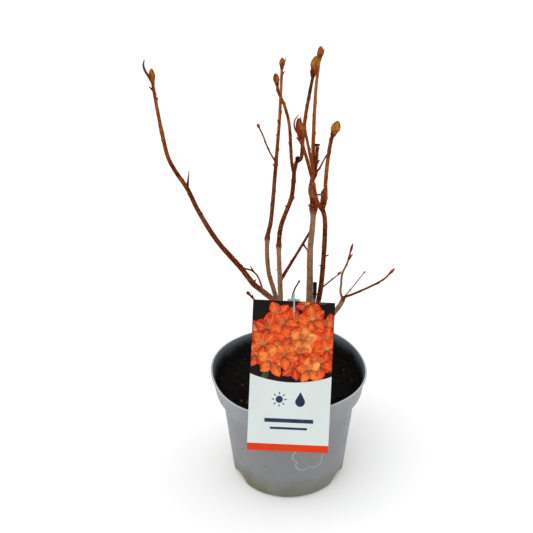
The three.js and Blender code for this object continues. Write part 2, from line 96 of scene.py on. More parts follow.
class Nodes:
    """A node tree under construction: every method adds a node and gives its result."""

    def __init__(self, tree, place):
        self.tree = tree
        self.place = self.node("ShaderNodeTexCoord").outputs[place]

    def node(self, kind, inputs=None, **settings):
        node = self.tree.nodes.new(kind)
        for key, value in settings.items():
            setattr(node, key, value)
        for key, value in (inputs or {}).items():
            self.feed(node.inputs[key], value)
        return node

    def feed(self, socket, value):
        if isinstance(value, bpy.types.NodeSocket):
            self.tree.links.new(value, socket)
        else:
            socket.default_value = value

    def attribute(self, name, output="Fac"):
        return self.node("ShaderNodeAttribute", attribute_name=name).outputs[output]

    def axis(self, where, name):
        return self.node("ShaderNodeSeparateXYZ", {"Vector": where}).outputs[name]

    def noise(self, scale, detail=3.0, rough=0.55, where=None, stretch=None):
        """Noise over the object's own place, or over another vector, stretched along its axes."""
        where = self.place if where is None else where
        if stretch:
            where = self.node("ShaderNodeMapping", {"Vector": where, "Scale": stretch}).outputs["Vector"]
        inputs = {"Vector": where, "Scale": scale, "Detail": detail, "Roughness": rough}
        return self.node("ShaderNodeTexNoise", inputs).outputs["Fac"]

    def spots(self, scale):
        """Distance to the nearest of many scattered points, 0 at a point."""
        inputs = {"Vector": self.place, "Scale": scale, "Randomness": 1.0}
        return self.node("ShaderNodeTexVoronoi", inputs).outputs["Distance"]

    def span(self, value, low, high, to_low=0.0, to_high=1.0):
        """The value's place between low and high, held within the new range."""
        inputs = {"Value": value, "From Min": low, "From Max": high, "To Min": to_low, "To Max": to_high}
        return self.node("ShaderNodeMapRange", inputs).outputs["Result"]

    def math(self, kind, a, b):
        return self.node("ShaderNodeMath", {0: a, 1: b}, operation=kind).outputs["Value"]

    def times(self, a, b):
        return self.math("MULTIPLY", a, b)

    def ramp(self, value, stops):
        node = self.node("ShaderNodeValToRGB", {"Fac": value})
        colours = node.color_ramp.elements
        while len(colours) < len(stops):
            colours.new(0.5)
        for element, (position, colour) in zip(colours, stops):
            element.position = position
            element.color = linear(colour)
        return node.outputs["Color"]

    def mix(self, share, a, b):
        a, b = (linear(c) if isinstance(c, int) else c for c in (a, b))
        inputs = {"Factor": share, 6: a, 7: b}
        return self.node("ShaderNodeMix", inputs, data_type="RGBA").outputs[2]

    def coats(self, colour, coats):
        """Lays coats of (share, colour) over a colour, one after the other."""
        for share, coat in coats:
            colour = self.mix(share, colour, coat)
        return colour

    def bump(self, height, depth_mm, below=None):
        inputs = {"Height": height, "Strength": 1.0, "Distance": depth_mm * MM}
        if below is not None:
            inputs["Normal"] = below
        return self.node("ShaderNodeBump", inputs).outputs["Normal"]


class Look(Nodes):
    """A material under construction, with values for its shader's sockets."""

    def __init__(self, name, **sockets):
        self.material = bpy.data.materials.new(name)
        self.material.use_nodes = True
        super().__init__(self.material.node_tree, "Object")
        self.shader = self.tree.nodes["Principled BSDF"]
        for socket, value in sockets.items():
            self.shader.inputs[socket.replace("_", " ")].default_value = value

    def done(self, colour, rough=None, normal=None):
        for socket, value in (("Base Color", colour), ("Roughness", rough), ("Normal", normal)):
            if value is not None:
                self.feed(self.shader.inputs[socket], value)
        return self.material

    def done_fine(self, colour, fine, low, high, depth_mm):
        """Done, with fine noise for its relief and for its roughness, which goes from low to high."""
        return self.done(colour, self.span(fine, 0.3, 0.7, low, high), self.bump(fine, depth_mm))


def make_sky():
    world = bpy.data.worlds.new("studio")
    bpy.context.scene.world = world
    world.use_nodes = True
    sky = Nodes(world.node_tree, "Generated")
    right, back, up = (sky.axis(sky.place, name) for name in "XYZ")
    light = sky.span(back, -1.0, 0.2, SKY_FRONT, SKY_REST)
    light = sky.math("ADD", light, sky.span(right, 0.3, 0.9, 0, SKY_RIGHT))
    light = sky.math("ADD", light, sky.span(right, -0.3, -0.9, 0, SKY_LEFT))
    light = sky.math("MAXIMUM", light, sky.span(up, *HAZE_RISE, 1.0, 0.0))
    background = world.node_tree.nodes["Background"]
    background.inputs["Color"].default_value = (1, 1, 1, 1)
    sky.feed(background.inputs["Strength"], light)


def make_key_light():
    key = bpy.data.lights.new("key", "SUN")
    key.energy = KEY_STRENGTH
    key.angle = math.radians(KEY_SPREAD)
    lamp = put(bpy.data.objects.new("key", key))
    lamp.rotation_euler = Vector(KEY_FROM).to_track_quat("Z", "Y").to_euler()


make_sky()
make_key_light()
bpy.context.scene.view_settings.view_transform = "Standard"

# ---------------------------------------------------------------- mesh helpers


class Skin:
    """Collects closed shells of one kind, each point with a grain place and a tone."""

    def __init__(self):
        self.points = []
        self.faces = []
        self.grain = []
        self.tone = []

    def point(self, place, grain=(0, 0, 0), tone=0.0):
        self.points.append(place)
        self.grain.append(grain)
        self.tone.append(tone)
        return len(self.points) - 1

    def rings(self, first, sides, count, foot, tip):
        """Joins rings of points that were added one after the other, and closes both ends."""
        for ring in range(count - 1):
            for k in range(sides):
                a = first + ring * sides + k
                b = first + ring * sides + (k + 1) % sides
                self.faces.append((a, b, b + sides, a + sides))
        last = first + (count - 1) * sides
        self.faces += [(first + (k + 1) % sides, first + k, foot) for k in range(sides)]
        self.faces += [(last + k, last + (k + 1) % sides, tip) for k in range(sides)]

    def sheet(self, rows, columns, point_at, flip=False):
        """A thin closed sheet. point_at takes v from 0 to 1, u from -1 to 1 and the layer."""
        first = len(self.points)
        for layer in (1, 0):
            for i in range(rows):
                for j in range(columns):
                    point_at(i / (rows - 1), 2 * j / (columns - 1) - 1, layer)
        size = rows * columns
        for i in range(rows - 1):
            for j in range(columns - 1):
                a = first + i * columns + j
                b = a + size
                quads = [(a, a + columns, a + columns + 1, a + 1), (b, b + 1, b + columns + 1, b + columns)]
                self.faces += [(p, s, r, q) if flip else (p, q, r, s) for p, q, r, s in quads]
        edge = list(range(columns)) + [i * columns + columns - 1 for i in range(1, rows)]
        edge += [(rows - 1) * columns + j for j in range(columns - 2, -1, -1)]
        edge += [i * columns for i in range(rows - 2, 0, -1)]
        for a, b in zip(edge, edge[1:] + edge[:1]):
            a, b = (first + b, first + a) if flip else (first + a, first + b)
            self.faces.append((a, b, b + size, a + size))

    def made(self, name, material, slot, replaces=(), smooth=True):
        mesh = bpy.data.meshes.new(name)
        mesh.from_pydata(self.points, [], self.faces)
        flat = [value for place in self.grain for value in place]
        mesh.attributes.new("grain", "FLOAT_VECTOR", "POINT").data.foreach_set("vector", flat)
        mesh.attributes.new("tone", "FLOAT", "POINT").data.foreach_set("value", self.tone)
        mesh.polygons.foreach_set("use_smooth", [smooth] * len(mesh.polygons))
        return dress(name, mesh, material, replaces)


def dress(name, mesh, material, replaces=()):
    mesh.materials.clear()
    mesh.materials.append(material)
    mesh.validate()
    obj = put(bpy.data.objects.new(name, mesh))
    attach(obj, "root")
    if replaces:
        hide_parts(*replaces)
    return obj


def circle(sides):
    """That many angles, evenly round."""
    return [2 * math.pi * k / sides for k in range(sides)]


def lerp(a, b, share):
    return a + (b - a) * share


def ease(value, low, high):
    """0 below low, 1 above high and a smooth step between."""
    share = min(1.0, max(0.0, (value - low) / (high - low)))
    return share * share * (3 - 2 * share)


def by_stops(value, stops):
    """Straight lines between (place, result) stops."""
    if value <= stops[0][0]:
        return stops[0][1]
    for (a, from_result), (b, to_result) in zip(stops, stops[1:]):
        if value <= b:
            return lerp(from_result, to_result, (value - a) / (b - a))
    return stops[-1][1]


def smooth_line(corners, closed=False, per_span=24):
    """A centripetal Catmull-Rom curve through the corners."""
    corners = [Vector(c) for c in corners]
    if closed:
        knots = [corners[-1]] + corners + corners[:2]
    else:
        knots = [2 * corners[0] - corners[1]] + corners + [2 * corners[-1] - corners[-2]]
    line = []
    for four in zip(knots, knots[1:], knots[2:], knots[3:]):
        t = [0.0]
        for a, b in zip(four, four[1:]):
            t.append(t[-1] + max((b - a).length, 1e-9) ** 0.5)
        for k in range(per_span):
            line.append(blended(four, t, lerp(t[1], t[2], k / per_span)))
    return line if closed else line + [corners[-1]]


def blended(points, times, now):
    """The pyramid of straight blends that gives one point of the curve."""
    level = list(points)
    for width in (1, 2):
        level = [
            level[i].lerp(level[i + 1], (now - times[i]) / (times[i + width] - times[i]))
            for i in range(len(level) - 1)
        ]
    return level[0].lerp(level[1], (now - times[1]) / (times[2] - times[1]))


def evenly(line, spacing):
    """Points about that far apart along the line, with its two ends kept."""
    reach = [0.0]
    for a, b in zip(line, line[1:]):
        reach.append(reach[-1] + (b - a).length)
    count = max(3, math.ceil(reach[-1] / spacing))
    points = []
    k = 0
    for i in range(count + 1):
        want = reach[-1] * i / count
        while k < len(line) - 2 and reach[k + 1] < want:
            k += 1
        points.append(line[k].lerp(line[k + 1], (want - reach[k]) / max(reach[k + 1] - reach[k], 1e-9)))
    return points


def frames_along(points):
    """(tangent, side, across) at each point, turned as little as can be between them."""
    ends = [points[0]] + points + [points[-1]]
    tangents = [(after - before).normalized() for before, after in zip(ends, ends[2:])]
    side = tangents[0].orthogonal().normalized()
    frames = []
    for before, tangent in zip([tangents[0]] + tangents, tangents):
        side = before.rotation_difference(tangent) @ side
        frames.append((tangent, side, tangent.cross(side)))
    return frames


def add_tube(skin, points, sides, radius_at, tone_at, seed=0.0, grain_pull=6.0):
    """A closed tube. radius_at takes (travel, angle) in metres and radians; tone_at takes travel."""
    first = len(skin.points)
    travel = 0.0
    for i, (point, (_, side, across)) in enumerate(zip(points, frames_along(points))):
        travel += (point - points[i - 1]).length if i else 0.0
        for angle in circle(sides):
            radius = radius_at(travel, angle)
            out = side * math.cos(angle) + across * math.sin(angle)
            grain = (
                radius / MM * math.cos(angle) + 9 * seed,
                radius / MM * math.sin(angle) - 5 * seed,
                travel / MM / grain_pull,
            )
            skin.point(point + out * radius, grain, tone_at(travel))
    foot = skin.point(points[0], (9 * seed, 0, 0), tone_at(0))
    tip = skin.point(points[-1], (9 * seed, 0, travel / MM / grain_pull), tone_at(travel))
    skin.rings(first, sides, len(points), foot, tip)


# ---------------------------------------------------------------- floor


def floor_look():
    look = Look("floor_paper", Roughness=0.95, Specular_IOR_Level=0.1)
    tint = look.noise(3.0)
    return look.done(look.mix(tint, 0xF9F9F9, 0xFDFDFD), normal=look.bump(tint, 0.05))


def make_floor():
    mesh = bpy.data.meshes.new("floor")
    half = FLOOR_SIZE * MM / 2
    level = -FLOOR_DROP * MM
    corners = [(-half, -half, level), (half, -half, level), (half, half, level), (-half, half, level)]
    mesh.from_pydata(corners, [], [(0, 1, 2, 3)])
    mesh.materials.append(floor_look())
    put(bpy.data.objects.new("floor", mesh))


make_floor()

# ---------------------------------------------------------------- pot

POT_HEIGHT = 113.5
POT_RIM_RADIUS = 75
POT_FOOT_RADIUS = 55.6
POT_WALL = 1.2
POT_FLOOR = 2.2
POT_LIP = 1.8
POT_SIDES = 288
COLLAR_TOP_RADIUS = 73.4
COLLAR_FOOT_RADIUS = 71.2
COLLAR_FOOT_HEIGHT = 93
SHOULDER_HEIGHT = 86.5
SHOULDER_RADIUS = 64.3
LIP_FOOT = POT_HEIGHT - POT_LIP

# The thin pot is pressed out of round: (lobes, bulge, heading of a lobe in degrees).
PRESSES = [(2, 1.5, 54), (4, 1.4, -25)]

NOTCH_HEADINGS = [-30, 30, 150, 210]
NOTCH_WIDTH = 24
NOTCH_HEIGHT = 9
NOTCH_TOP_DEPTH = 4
NOTCH_FOOT_DEPTH = 8

BLOSSOM_PRINT_HEADING = -71  # degrees round the pot, on its front
BLOSSOM_PRINT_HEIGHT = 52
BLOSSOM_PRINT_RADIUS = 17.5
PRINT_LINE = 0.8


def rim_bulge(angle):
    return sum(bulge * math.cos(lobes * (angle - math.radians(heading))) for lobes, bulge, heading in PRESSES)


def wall_radius(height):
    """Outside radius of the plain wall below the collar."""
    return lerp(POT_FOOT_RADIUS, SHOULDER_RADIUS, height / SHOULDER_HEIGHT)


def inner_radius(height):
    stops = [(0, POT_FOOT_RADIUS), (SHOULDER_HEIGHT, SHOULDER_RADIUS),
             (COLLAR_FOOT_HEIGHT, COLLAR_FOOT_RADIUS), (POT_HEIGHT, COLLAR_TOP_RADIUS)]
    return by_stops(height, stops) - POT_WALL


def pressed(radius, angle, height):
    """A place on the pot, in metres, with the rim's bulge fading down and inwards."""
    share = (height / POT_HEIGHT) ** 2 * min(1, radius / inner_radius(height))
    radius += rim_bulge(angle) * share
    return Vector((radius * math.cos(angle), radius * math.sin(angle), height)) * MM


def notch_push(angle, height):
    """How far the wall is pushed in by the low arches in the foot."""
    push = 0.0
    for heading in NOTCH_HEADINGS:
        turn = math.remainder(angle - math.radians(heading), 2 * math.pi)
        aside = abs(turn) * POT_FOOT_RADIUS / (NOTCH_WIDTH / 2)
        arch = 1 - aside ** 2 - (height / NOTCH_HEIGHT) ** 2
        push = max(push, ease(arch, 0.0, 0.3))
    return push * lerp(NOTCH_FOOT_DEPTH, NOTCH_TOP_DEPTH, height / NOTCH_HEIGHT)


def pot_profile():
    """(radius, height, inside) from under the foot up the outside to the lip, and down again within."""
    foot = POT_FOOT_RADIUS
    outside = [(0.01, 0), (foot * 0.5, 0), (foot - 4, 0), (foot - 2.5, 0), (foot - 1.6, 0.2),
               (foot - 0.9, 0.7), (foot - 0.3, 1.5)]
    heights = [lerp(2.5, 13, i / 22) for i in range(23)] + list(range(18, 79, 5))
    outside += [(wall_radius(height), height) for height in heights]
    outside += [(64.05, 84), (64.35, 84.9), (65.1, 86), (66.4, 87.5), (67.9, 89.2), (69.3, 91), (70.4, 92.8),
                (71.1, 94.8), (71.5, 97.2)]
    outside += [(lerp(71.5, COLLAR_TOP_RADIUS, share), lerp(97.2, LIP_FOOT, share))
                for share in (0.25, 0.5, 0.75, 0.94)]
    outside += [(73.9, LIP_FOOT - 0.3), (74.6, LIP_FOOT), (POT_RIM_RADIUS, LIP_FOOT + 0.4),
                (75.1, LIP_FOOT + 1.1), (74.8, 113.3), (74.3, POT_HEIGHT), (73.6, POT_HEIGHT)]
    inside = [(73.2, 113.1), (73, 112.4)]
    heights = [110, 106, 101, 97, COLLAR_FOOT_HEIGHT, SHOULDER_HEIGHT, 60, 30, 14, 11, 9, 7, 5, 3.4]
    heights.append(POT_FLOOR)
    inside += [(inner_radius(height), height) for height in heights]
    inside += [(inner_radius(POT_FLOOR) * 0.5, POT_FLOOR), (0.01, POT_FLOOR)]
    return [(r, z, 0.0) for r, z in outside] + [(r, z, 1.0) for r, z in inside]


def pot_look():
    """Grey plastic outside. Inside, the same plastic with painted shade that makes it a dark slate, lighter
    near the rim, with earth on it. Heights are in metres in its nodes.
    """
    look = Look("pot_grey", Specular_IOR_Level=0.45)
    height = look.axis(look.place, "Z")
    broad = look.noise(14.0)
    # painted shade: a darker band in the crease under the collar, which evens out the light the floor throws
    # up into it
    fold_painted_shade = look.times(look.span(height, 0.0828, 0.0846), look.span(height, 0.0895, 0.0858, 0, 0.6))
    scuffs = look.noise(160.0, 5, 0.7, stretch=(1, 1, 0.25))
    algae = look.span(look.times(look.span(height, 0.04, 0.002), look.noise(42.0, 5, 0.65)), 0.2, 0.46)
    left = look.span(look.axis(look.place, "X"), 0.02, -0.03, 0.45, 0.85)
    specks = look.times(look.span(look.spots(75.0), 0.1, 0.06), look.span(look.noise(30.0, 2), 0.46, 0.52))
    grey = look.coats(look.mix(broad, 0x717375, 0x7E8082), [
        (look.span(height, 0.070, 0.112, 0, 0.9), 0x8C9093),
        (fold_painted_shade, 0x6C6E70),
        # painted highlight: a thin pale line round the top of the lip
        (look.span(height, 0.1128, 0.1134, 0, 0.8), 0xB8BCBE),
        (look.span(scuffs, 0.62, 0.8, 0, 0.3), 0xA4A6A6),
        (look.times(algae, left), 0x5F5A34),
        (specks, 0x2C2C28),
    ])
    earth = look.math("ADD", look.noise(60.0, 5, 0.7), look.span(height, 0.115, 0.098, -0.35, 0.3))
    # painted shade: the inside wall is drawn as dark slate for the shade within the pot, with a lighter
    # painted band near the rim, and real earth smears laid over it
    inside_shade_and_earth = look.coats(look.mix(look.noise(40.0, 5, 0.7), 0x1C2127, 0x48525A), [
        (look.span(height, 0.1075, 0.1125, 0, 0.6), 0x6A7780),
        (look.span(earth, 0.45, 0.6), 0x0C0A09),
    ])
    colour = look.mix(look.attribute("tone"), grey, inside_shade_and_earth)
    normal = look.bump(broad, 0.5, look.bump(look.noise(900.0, 2), 0.05))
    return look.done(colour, look.span(look.noise(90.0, 4), 0.3, 0.7, 0.4, 0.56), normal)


def make_pot():
    skin = Skin()
    profile = pot_profile()
    for radius, height, inside in profile:
        reach = ease(radius, POT_FOOT_RADIUS * 0.8, POT_FOOT_RADIUS - 2)
        for angle in circle(POT_SIDES):
            push = notch_push(angle, height) * reach
            skin.point(pressed(radius - push, angle, height), tone=inside)
    under = skin.point(Vector((0, 0, 0)))
    within = skin.point(Vector((0, 0, POT_FLOOR * MM)), tone=1.0)
    skin.rings(0, POT_SIDES, len(profile), under, within)
    skin.made("pot_body", pot_look(), "pot_plastic", ["pot"])


def print_look():
    look = Look("pot_print", Specular_IOR_Level=0.4)
    worn = look.noise(260.0, 4)
    colour = look.mix(worn, 0x96999B, 0xBCBFC0)
    return look.done_fine(colour, worn, 0.45, 0.6, 0.03)


def make_pot_print():
    """A plain five-petal blossom in outline, printed on the front of the pot."""
    skin = Skin()
    steps = 120
    heading = math.radians(BLOSSOM_PRINT_HEADING)
    for turn in circle(steps):
        reach = BLOSSOM_PRINT_RADIUS * (0.72 + 0.28 * abs(math.cos(2.5 * turn)) ** 0.7)
        for inset, proud in ((0, 0.01), (0, 0.09), (PRINT_LINE, 0.09), (PRINT_LINE, 0.01)):
            right = (reach - inset) * math.sin(turn)
            height = BLOSSOM_PRINT_HEIGHT + (reach - inset) * math.cos(turn)
            radius = wall_radius(height) + proud
            skin.point(pressed(radius, heading + right / radius, height))
    for i in range(steps):
        for k in range(4):
            a, b = 4 * i + k, 4 * i + (k + 1) % 4
            skin.faces.append((b, a, (a + 4) % (4 * steps), (b + 4) % (4 * steps)))
    skin.made("pot_blossom_print", print_look(), "pot_plastic", smooth=False)


make_pot()
make_pot_print()

# ---------------------------------------------------------------- soil

SOIL_LEVEL = 98
SOIL_FLAT_RADIUS = 24
SOIL_SWELL = 1.1
SOIL_SIDES = 220
CRUMBS = 1500
FLECKS = 13  # of each colour
FIBRES = 30
CROWN_SPOT = (6.2, 1.3)


def soil_height(x, y):
    """The soil's surface: low mounds, lumps and grain, nearly level at the crown."""
    radius = math.hypot(x, y)
    open_ground = ease(radius, SOIL_FLAT_RADIUS - 6, SOIL_FLAT_RADIUS + 10)
    mounds = SOIL_SWELL * math.sin(x / 9 + 1) * math.cos(y / 11 - 0.5)
    lumps = 1.3 * noise.noise(Vector((x / 7, y / 7, 3)))
    grain = 0.8 * noise.noise(Vector((x / 2.2, y / 2.2, 8)))
    return SOIL_LEVEL + open_ground * (mounds + lumps) + grain


def soil_look(name, dark, brown, tan_share):
    look = Look(name, Roughness=0.95, Specular_IOR_Level=0.08)
    lumps = look.noise(220.0, 5, 0.7)
    grain = look.noise(900.0, 3, 0.7)
    colour = look.mix(look.span(lumps, 0.35, 0.7), dark, brown)
    colour = look.mix(look.span(grain, 0.66, 0.78, 0, tan_share), colour, 0x5A4028)
    normal = look.bump(grain, 0.5, look.bump(lumps, 1.2))
    return look.done(colour, look.span(grain, 0.3, 0.7, 0.85, 1.0), normal)


def make_soil_bed():
    skin = Skin()
    bottom = POT_FLOOR + 0.3
    notch_clear = NOTCH_FOOT_DEPTH + 1
    rings = [(inner_radius(bottom) - notch_clear, bottom), (inner_radius(12) - notch_clear, 12),
             (inner_radius(16) - 0.5, 16), (inner_radius(SHOULDER_HEIGHT) - 0.5, SHOULDER_HEIGHT),
             (inner_radius(94) - 0.5, 94)]
    surface = [inner_radius(SOIL_LEVEL) - 0.4 - 1.05 * i for i in range(68)]
    for radius, height in rings:
        for angle in circle(SOIL_SIDES):
            skin.point(pressed(radius, angle, height))
    for radius in surface:
        for angle in circle(SOIL_SIDES):
            height = soil_height(radius * math.cos(angle), radius * math.sin(angle))
            skin.point(pressed(radius, angle, height))
    under = skin.point(Vector((0, 0, bottom * MM)))
    centre = skin.point(Vector((0, 0, soil_height(0, 0) * MM)))
    skin.rings(0, SOIL_SIDES, len(rings) + len(surface), under, centre)
    skin.made("soil_bed", soil_look("peat", 0x060505, 0x120E0B, 0.25), "potting_soil", ["soil"])


def lump(skin, rng, place, size, flat=1.0):
    """A small irregular crumb on the soil."""
    shape = bmesh.new()
    bmesh.ops.create_icosphere(shape, subdivisions=1, radius=1.0)
    turn = Matrix.Rotation(rng.uniform(0, 6.3), 3, Vector((rng.gauss(0, 1), rng.gauss(0, 1), 1)).normalized())
    stretch = Vector((rng.uniform(0.6, 1.3), rng.uniform(0.5, 1.0), flat * rng.uniform(0.5, 0.9)))
    first = len(skin.points)
    for vertex in shape.verts:
        bumpy = vertex.co * rng.uniform(0.75, 1.2)
        skin.point(place + turn @ (bumpy * stretch) * size * MM / 2)
    skin.faces += [tuple(first + v.index for v in face.verts) for face in shape.faces]
    shape.free()


def soil_spot(rng, clear):
    """A random place on the soil, that far inside the wall."""
    while True:
        radius = (inner_radius(SOIL_LEVEL) - clear) * math.sqrt(rng.random())
        angle = rng.uniform(0, 2 * math.pi)
        x, y = radius * math.cos(angle), radius * math.sin(angle)
        if math.hypot(x - CROWN_SPOT[0], y - CROWN_SPOT[1]) > 10:
            return pressed(radius, angle, soil_height(x, y))


def make_crumbs():
    rng = random.Random(11)
    crumbs = Skin()
    for _ in range(CRUMBS):
        size = 1.1 + 3.4 * rng.random() ** 3
        lump(crumbs, rng, soil_spot(rng, 2.5), size)
    look = soil_look("peat_crumbs", 0x080706, 0x1A1410, 0.3)
    crumbs.made("soil_crumbs", look, "potting_soil", smooth=False)
    for name, dark, light in (("bark_flecks", 0x4A2512, 0x8C4A20), ("green_flecks", 0x3C3A1C, 0x5A552A)):
        flecks = Skin()
        for _ in range(FLECKS):
            place = soil_spot(rng, 4) + Vector((0, 0, 0.4 * MM))
            lump(flecks, rng, place, rng.uniform(1.4, 3.4), flat=0.5)
        flecks.made(name, soil_look(name, dark, light, 0.3), "potting_soil", smooth=False)


def make_fibres():
    rng = random.Random(5)
    skin = Skin()
    for _ in range(FIBRES):
        start = soil_spot(rng, 9)
        heading = rng.uniform(0, 2 * math.pi)
        points = []
        for i in range(5):
            aim = Vector((math.cos(heading), math.sin(heading), 0)) * i * 1.6 * MM
            place = start + aim
            place.z = (soil_height(place.x / MM, place.y / MM) + 0.5 + 0.5 * math.sin(i * 0.8)) * MM
            points.append(place)
            heading += rng.uniform(-0.4, 0.4)
        girth = rng.uniform(0.25, 0.5)
        add_tube(skin, points, 5, lambda travel, angle: girth * MM / 2, lambda travel: 0.5)
    skin.made("peat_fibres", soil_look("fibres", 0x1E140D, 0x46301C, 0.4), "potting_soil")


make_soil_bed()
make_crumbs()
make_fibres()

# ---------------------------------------------------------------- the plant

OLD_WOOD = ["root_crown", "left_trunk", "central_stem", "low_branch"]
STEM_WOOD = ["right_stem", "left_stem", "rear_stem", "middle_stem"]

RING_SPACING = 0.9
COLLAR_SWELL = 0.55  # a limb's foot is this much thicker in radius where it leaves its parent
COLLAR_LENGTH = 3.0
TWIG_EXTRA = 0.06  # every limb's radius is this much more than its girth gives
FLARE = 4.5
FLARE_HEIGHT = 4
FLARE_LOBES = 5
TIP = math.inf  # stands for the height of a limb's own tip


def leaning(right, back):
    """The direction that leans so many degrees to the right of upright and towards the back."""
    r, b = math.radians(right), math.radians(back)
    return Vector((math.sin(r) * math.cos(b), math.sin(b), math.cos(r) * math.cos(b)))


class Limb:
    """A centre line in metres with its girth, ages and knobs."""

    def __init__(self, foot, growth, girth, ages, knuckle=None, bud=None, ripe=0.0, seed=0):
        corners = [foot]
        for length, right, back in growth:
            corners.append(corners[-1] + leaning(right, back) * length * MM)
        self.line = evenly(smooth_line(corners), RING_SPACING * MM)
        self.length = sum((b - a).length for a, b in zip(self.line, self.line[1:]))
        self.girth = girth
        self.knuckle = knuckle
        self.bud = bud
        self.ripe = ripe
        self.seed = seed
        self.ages = ages
        self.scars = self.leaf_scars()

    def leaf_scars(self):
        """(travel, angle, rise) of the small swellings where leaves sat, set in a spiral."""
        rng = random.Random(self.seed)
        scars = []
        travel = rng.uniform(5, 9)
        angle = rng.uniform(0, 2 * math.pi)
        young = self.bud is not None
        while travel < self.length / MM - 3:
            scars.append((travel * MM, angle, rng.uniform(0.25, 0.6)))
            travel += rng.uniform(6, 13) if young else rng.uniform(12, 24)
            angle += 2.4 + rng.uniform(-0.4, 0.4)
        return scars

    def at_height(self, height):
        for point in self.line:
            if point.z >= height * MM:
                return point
        return self.line[-1]

    def girth_at(self, travel):
        return lerp(self.girth[0], self.girth[1], travel / self.length)

    def radius(self, travel, angle, height):
        """In metres: taper, foot collar, knuckle, leaf scars and bark ridges."""
        radius = self.girth_at(travel) / 2
        radius += COLLAR_SWELL * self.girth[0] / 4 * math.exp(-((travel / MM) / COLLAR_LENGTH) ** 2)
        if self.knuckle:
            knuckle_height, swell, spread = (*self.knuckle, 5)[:3]
            radius += swell / 2 * math.exp(-((height - knuckle_height) / spread) ** 2)
        c, s = math.cos(angle), math.sin(angle)
        age = by_stops(height, self.ages)
        along = travel / MM
        ridge = noise.noise(Vector((1.7 * c + self.seed, 1.7 * s, along / 16)))
        grain = noise.noise(Vector((3.6 * c, 3.6 * s + self.seed, along / 4)))
        cracks = noise.noise(Vector((2.2 * c, 2.2 * s, along / 2.2 + self.seed)))
        roughness = lerp(0.35, 1.0, ease(age, 0.2, 0.9))
        radius *= 1 + roughness * (0.1 * ridge + 0.055 * grain + 0.04 * cracks)
        for place, heading, rise in self.scars:
            away = (travel - place) / MM
            if abs(away) < 5:
                turn = math.remainder(angle - heading, 2 * math.pi)
                lop = 1.6 if away < 0 else 0.8
                radius += rise * math.exp(-(away / lop) ** 2 - (turn / 0.75) ** 2)
        return max(radius + TWIG_EXTRA, 0.15) * MM

    def add_to(self, skin, sides):
        heights = {}
        travel = 0.0
        for before, point in zip([self.line[0]] + self.line, self.line):
            travel += (point - before).length
            heights[travel] = point.z / MM
        add_tube(
            skin, self.line, sides,
            lambda where, angle: self.radius(where, angle, heights[where]),
            lambda where: by_stops(heights[where], self.ages),
            seed=self.seed,
        )


crown_foot = Vector((*CROWN_SPOT, SOIL_LEVEL + 0.3)) * MM
plant = {"root_crown": [Limb(crown_foot, [(12, 0, 0), (12, 4, 0)], (13.2, 11.2), [(0, 1)], seed=1)]}


def grow(name, parent, height, girth, growth, ages, source=0, **more):
    """Adds a limb that leaves its parent's centre line at a height.

    It grows in steps of (length, degrees to the right of upright, degrees towards the back). girth is
    its diameter at the foot and at the tip. ages are stops of (height, age): 0 a pale new shoot, 0.42
    dark red-brown, 1 grey bark, 1.25 dead. A knuckle is a swollen joint (height, swell, spread if not 5),
    and a bud closes a shoot (length, diameter), ripe from 0, red-brown, to 1, olive. A spray is made of
    several shoots: its first is its stem, and the others leave that one, or the one that source numbers.
    """
    seed = 1 + sum(len(limbs) for limbs in plant.values())
    foot = plant[parent][source].at_height(height)
    plant.setdefault(name, []).append(Limb(foot, growth, girth, ages, seed=seed, **more))


grow("left_trunk", "root_crown", 112, (9.4, 8.2), [(30, -19, 0), (38, -8, 0)], [(0, 1)])
grow("central_stem", "root_crown", 114, (7.4, 4.0),
     [(40, 13, 4), (29, 7, 2), (50, 0.5, 1), (42, 3, 2), (15, -10, 4), (9, 9, 6)],
     [(265, 1), (269, 0.85), (272, 0.56), (280, 0.54), (283, 0.84), (291, 0.8), (297, 0.55), (303, 0.44)],
     knuckle=(272, 3.2))
grow("right_stem", "central_stem", 130, (5.0, 3.7),
     [(26, 23, -6), (34, 12, -4), (45, 4, -6), (37, 0, -8), (8, -11, -7)],
     [(130, 0.8), (180, 0.5), (215, 0.42), (276, 0.38)])
grow("low_branch", "root_crown", 106, (4.9, 4.2), [(30, 35, -3), (44, 23, -3), (11, 30, -10), (9, 21, -13)],
     [(0, 0.95)])
grow("left_stem", "left_trunk", 174, (5.2, 3.0),
     [(8, -19, -10), (20, -40, -12), (11, -43, -11), (22, -31, -10), (34, -34, -9), (34, -25.5, -8),
      (20, -20, -7), (19, -28, -6), (12, -22, -5), (19, -10.5, 3)],
     [(188, 0.9), (204, 0.62), (236, 0.5), (244, 0.62), (256, 0.46), (270, 0.66), (284, 0.5),
      (300, 0.34), (310, 0.28), (317, 0.6), (322, 0.3), (334, 0.2), (346, 0.22)])
grow("rear_stem", "left_trunk", 174, (4.4, 3.2),
     [(19, -17, 19), (18, -15, 9), (31, -2, 11), (16, 12, 14), (50, 5.5, 12)],
     [(237.5, 1), (240.5, 0.55), (262, 0.66), (290, 0.6), (304, 0.46)], knuckle=(239, 1.3, 2.5))
grow("middle_stem", "left_trunk", 174, (4.5, 3.5),
     [(14, 4, -17), (58, -1, -5), (17, 7, 0), (27, 19, 2), (13, 7, 0)],
     [(241.5, 1), (244.5, 0.43), (290, 0.4)], knuckle=(243, 1.3, 2.5))
grow("left_spray", "left_stem", TIP, (2.9, 2.4), [(19, -8, 6), (17, -6.5, 5), (3.5, -3, 5)],
     [(345, 0.2), (368, 0.24), (380, 0.34)], bud=(10.5, 4.9), ripe=0.3)
grow("rear_spray", "rear_stem", TIP, (3.1, 2.2), [(22, 5, 10), (17, 5, 10), (44, 3, 7)],
     [(305, 0.38), (335, 0.15), (380, 0.1)], bud=(8.5, 5), ripe=0.35)
grow("rear_spray", "rear_spray", 305, (1.4, 1.2), [(15, -26, -15), (14, -18, -17), (9, -22, -13)],
     [(0, 0.3)], bud=(4, 2.6), ripe=0.1)
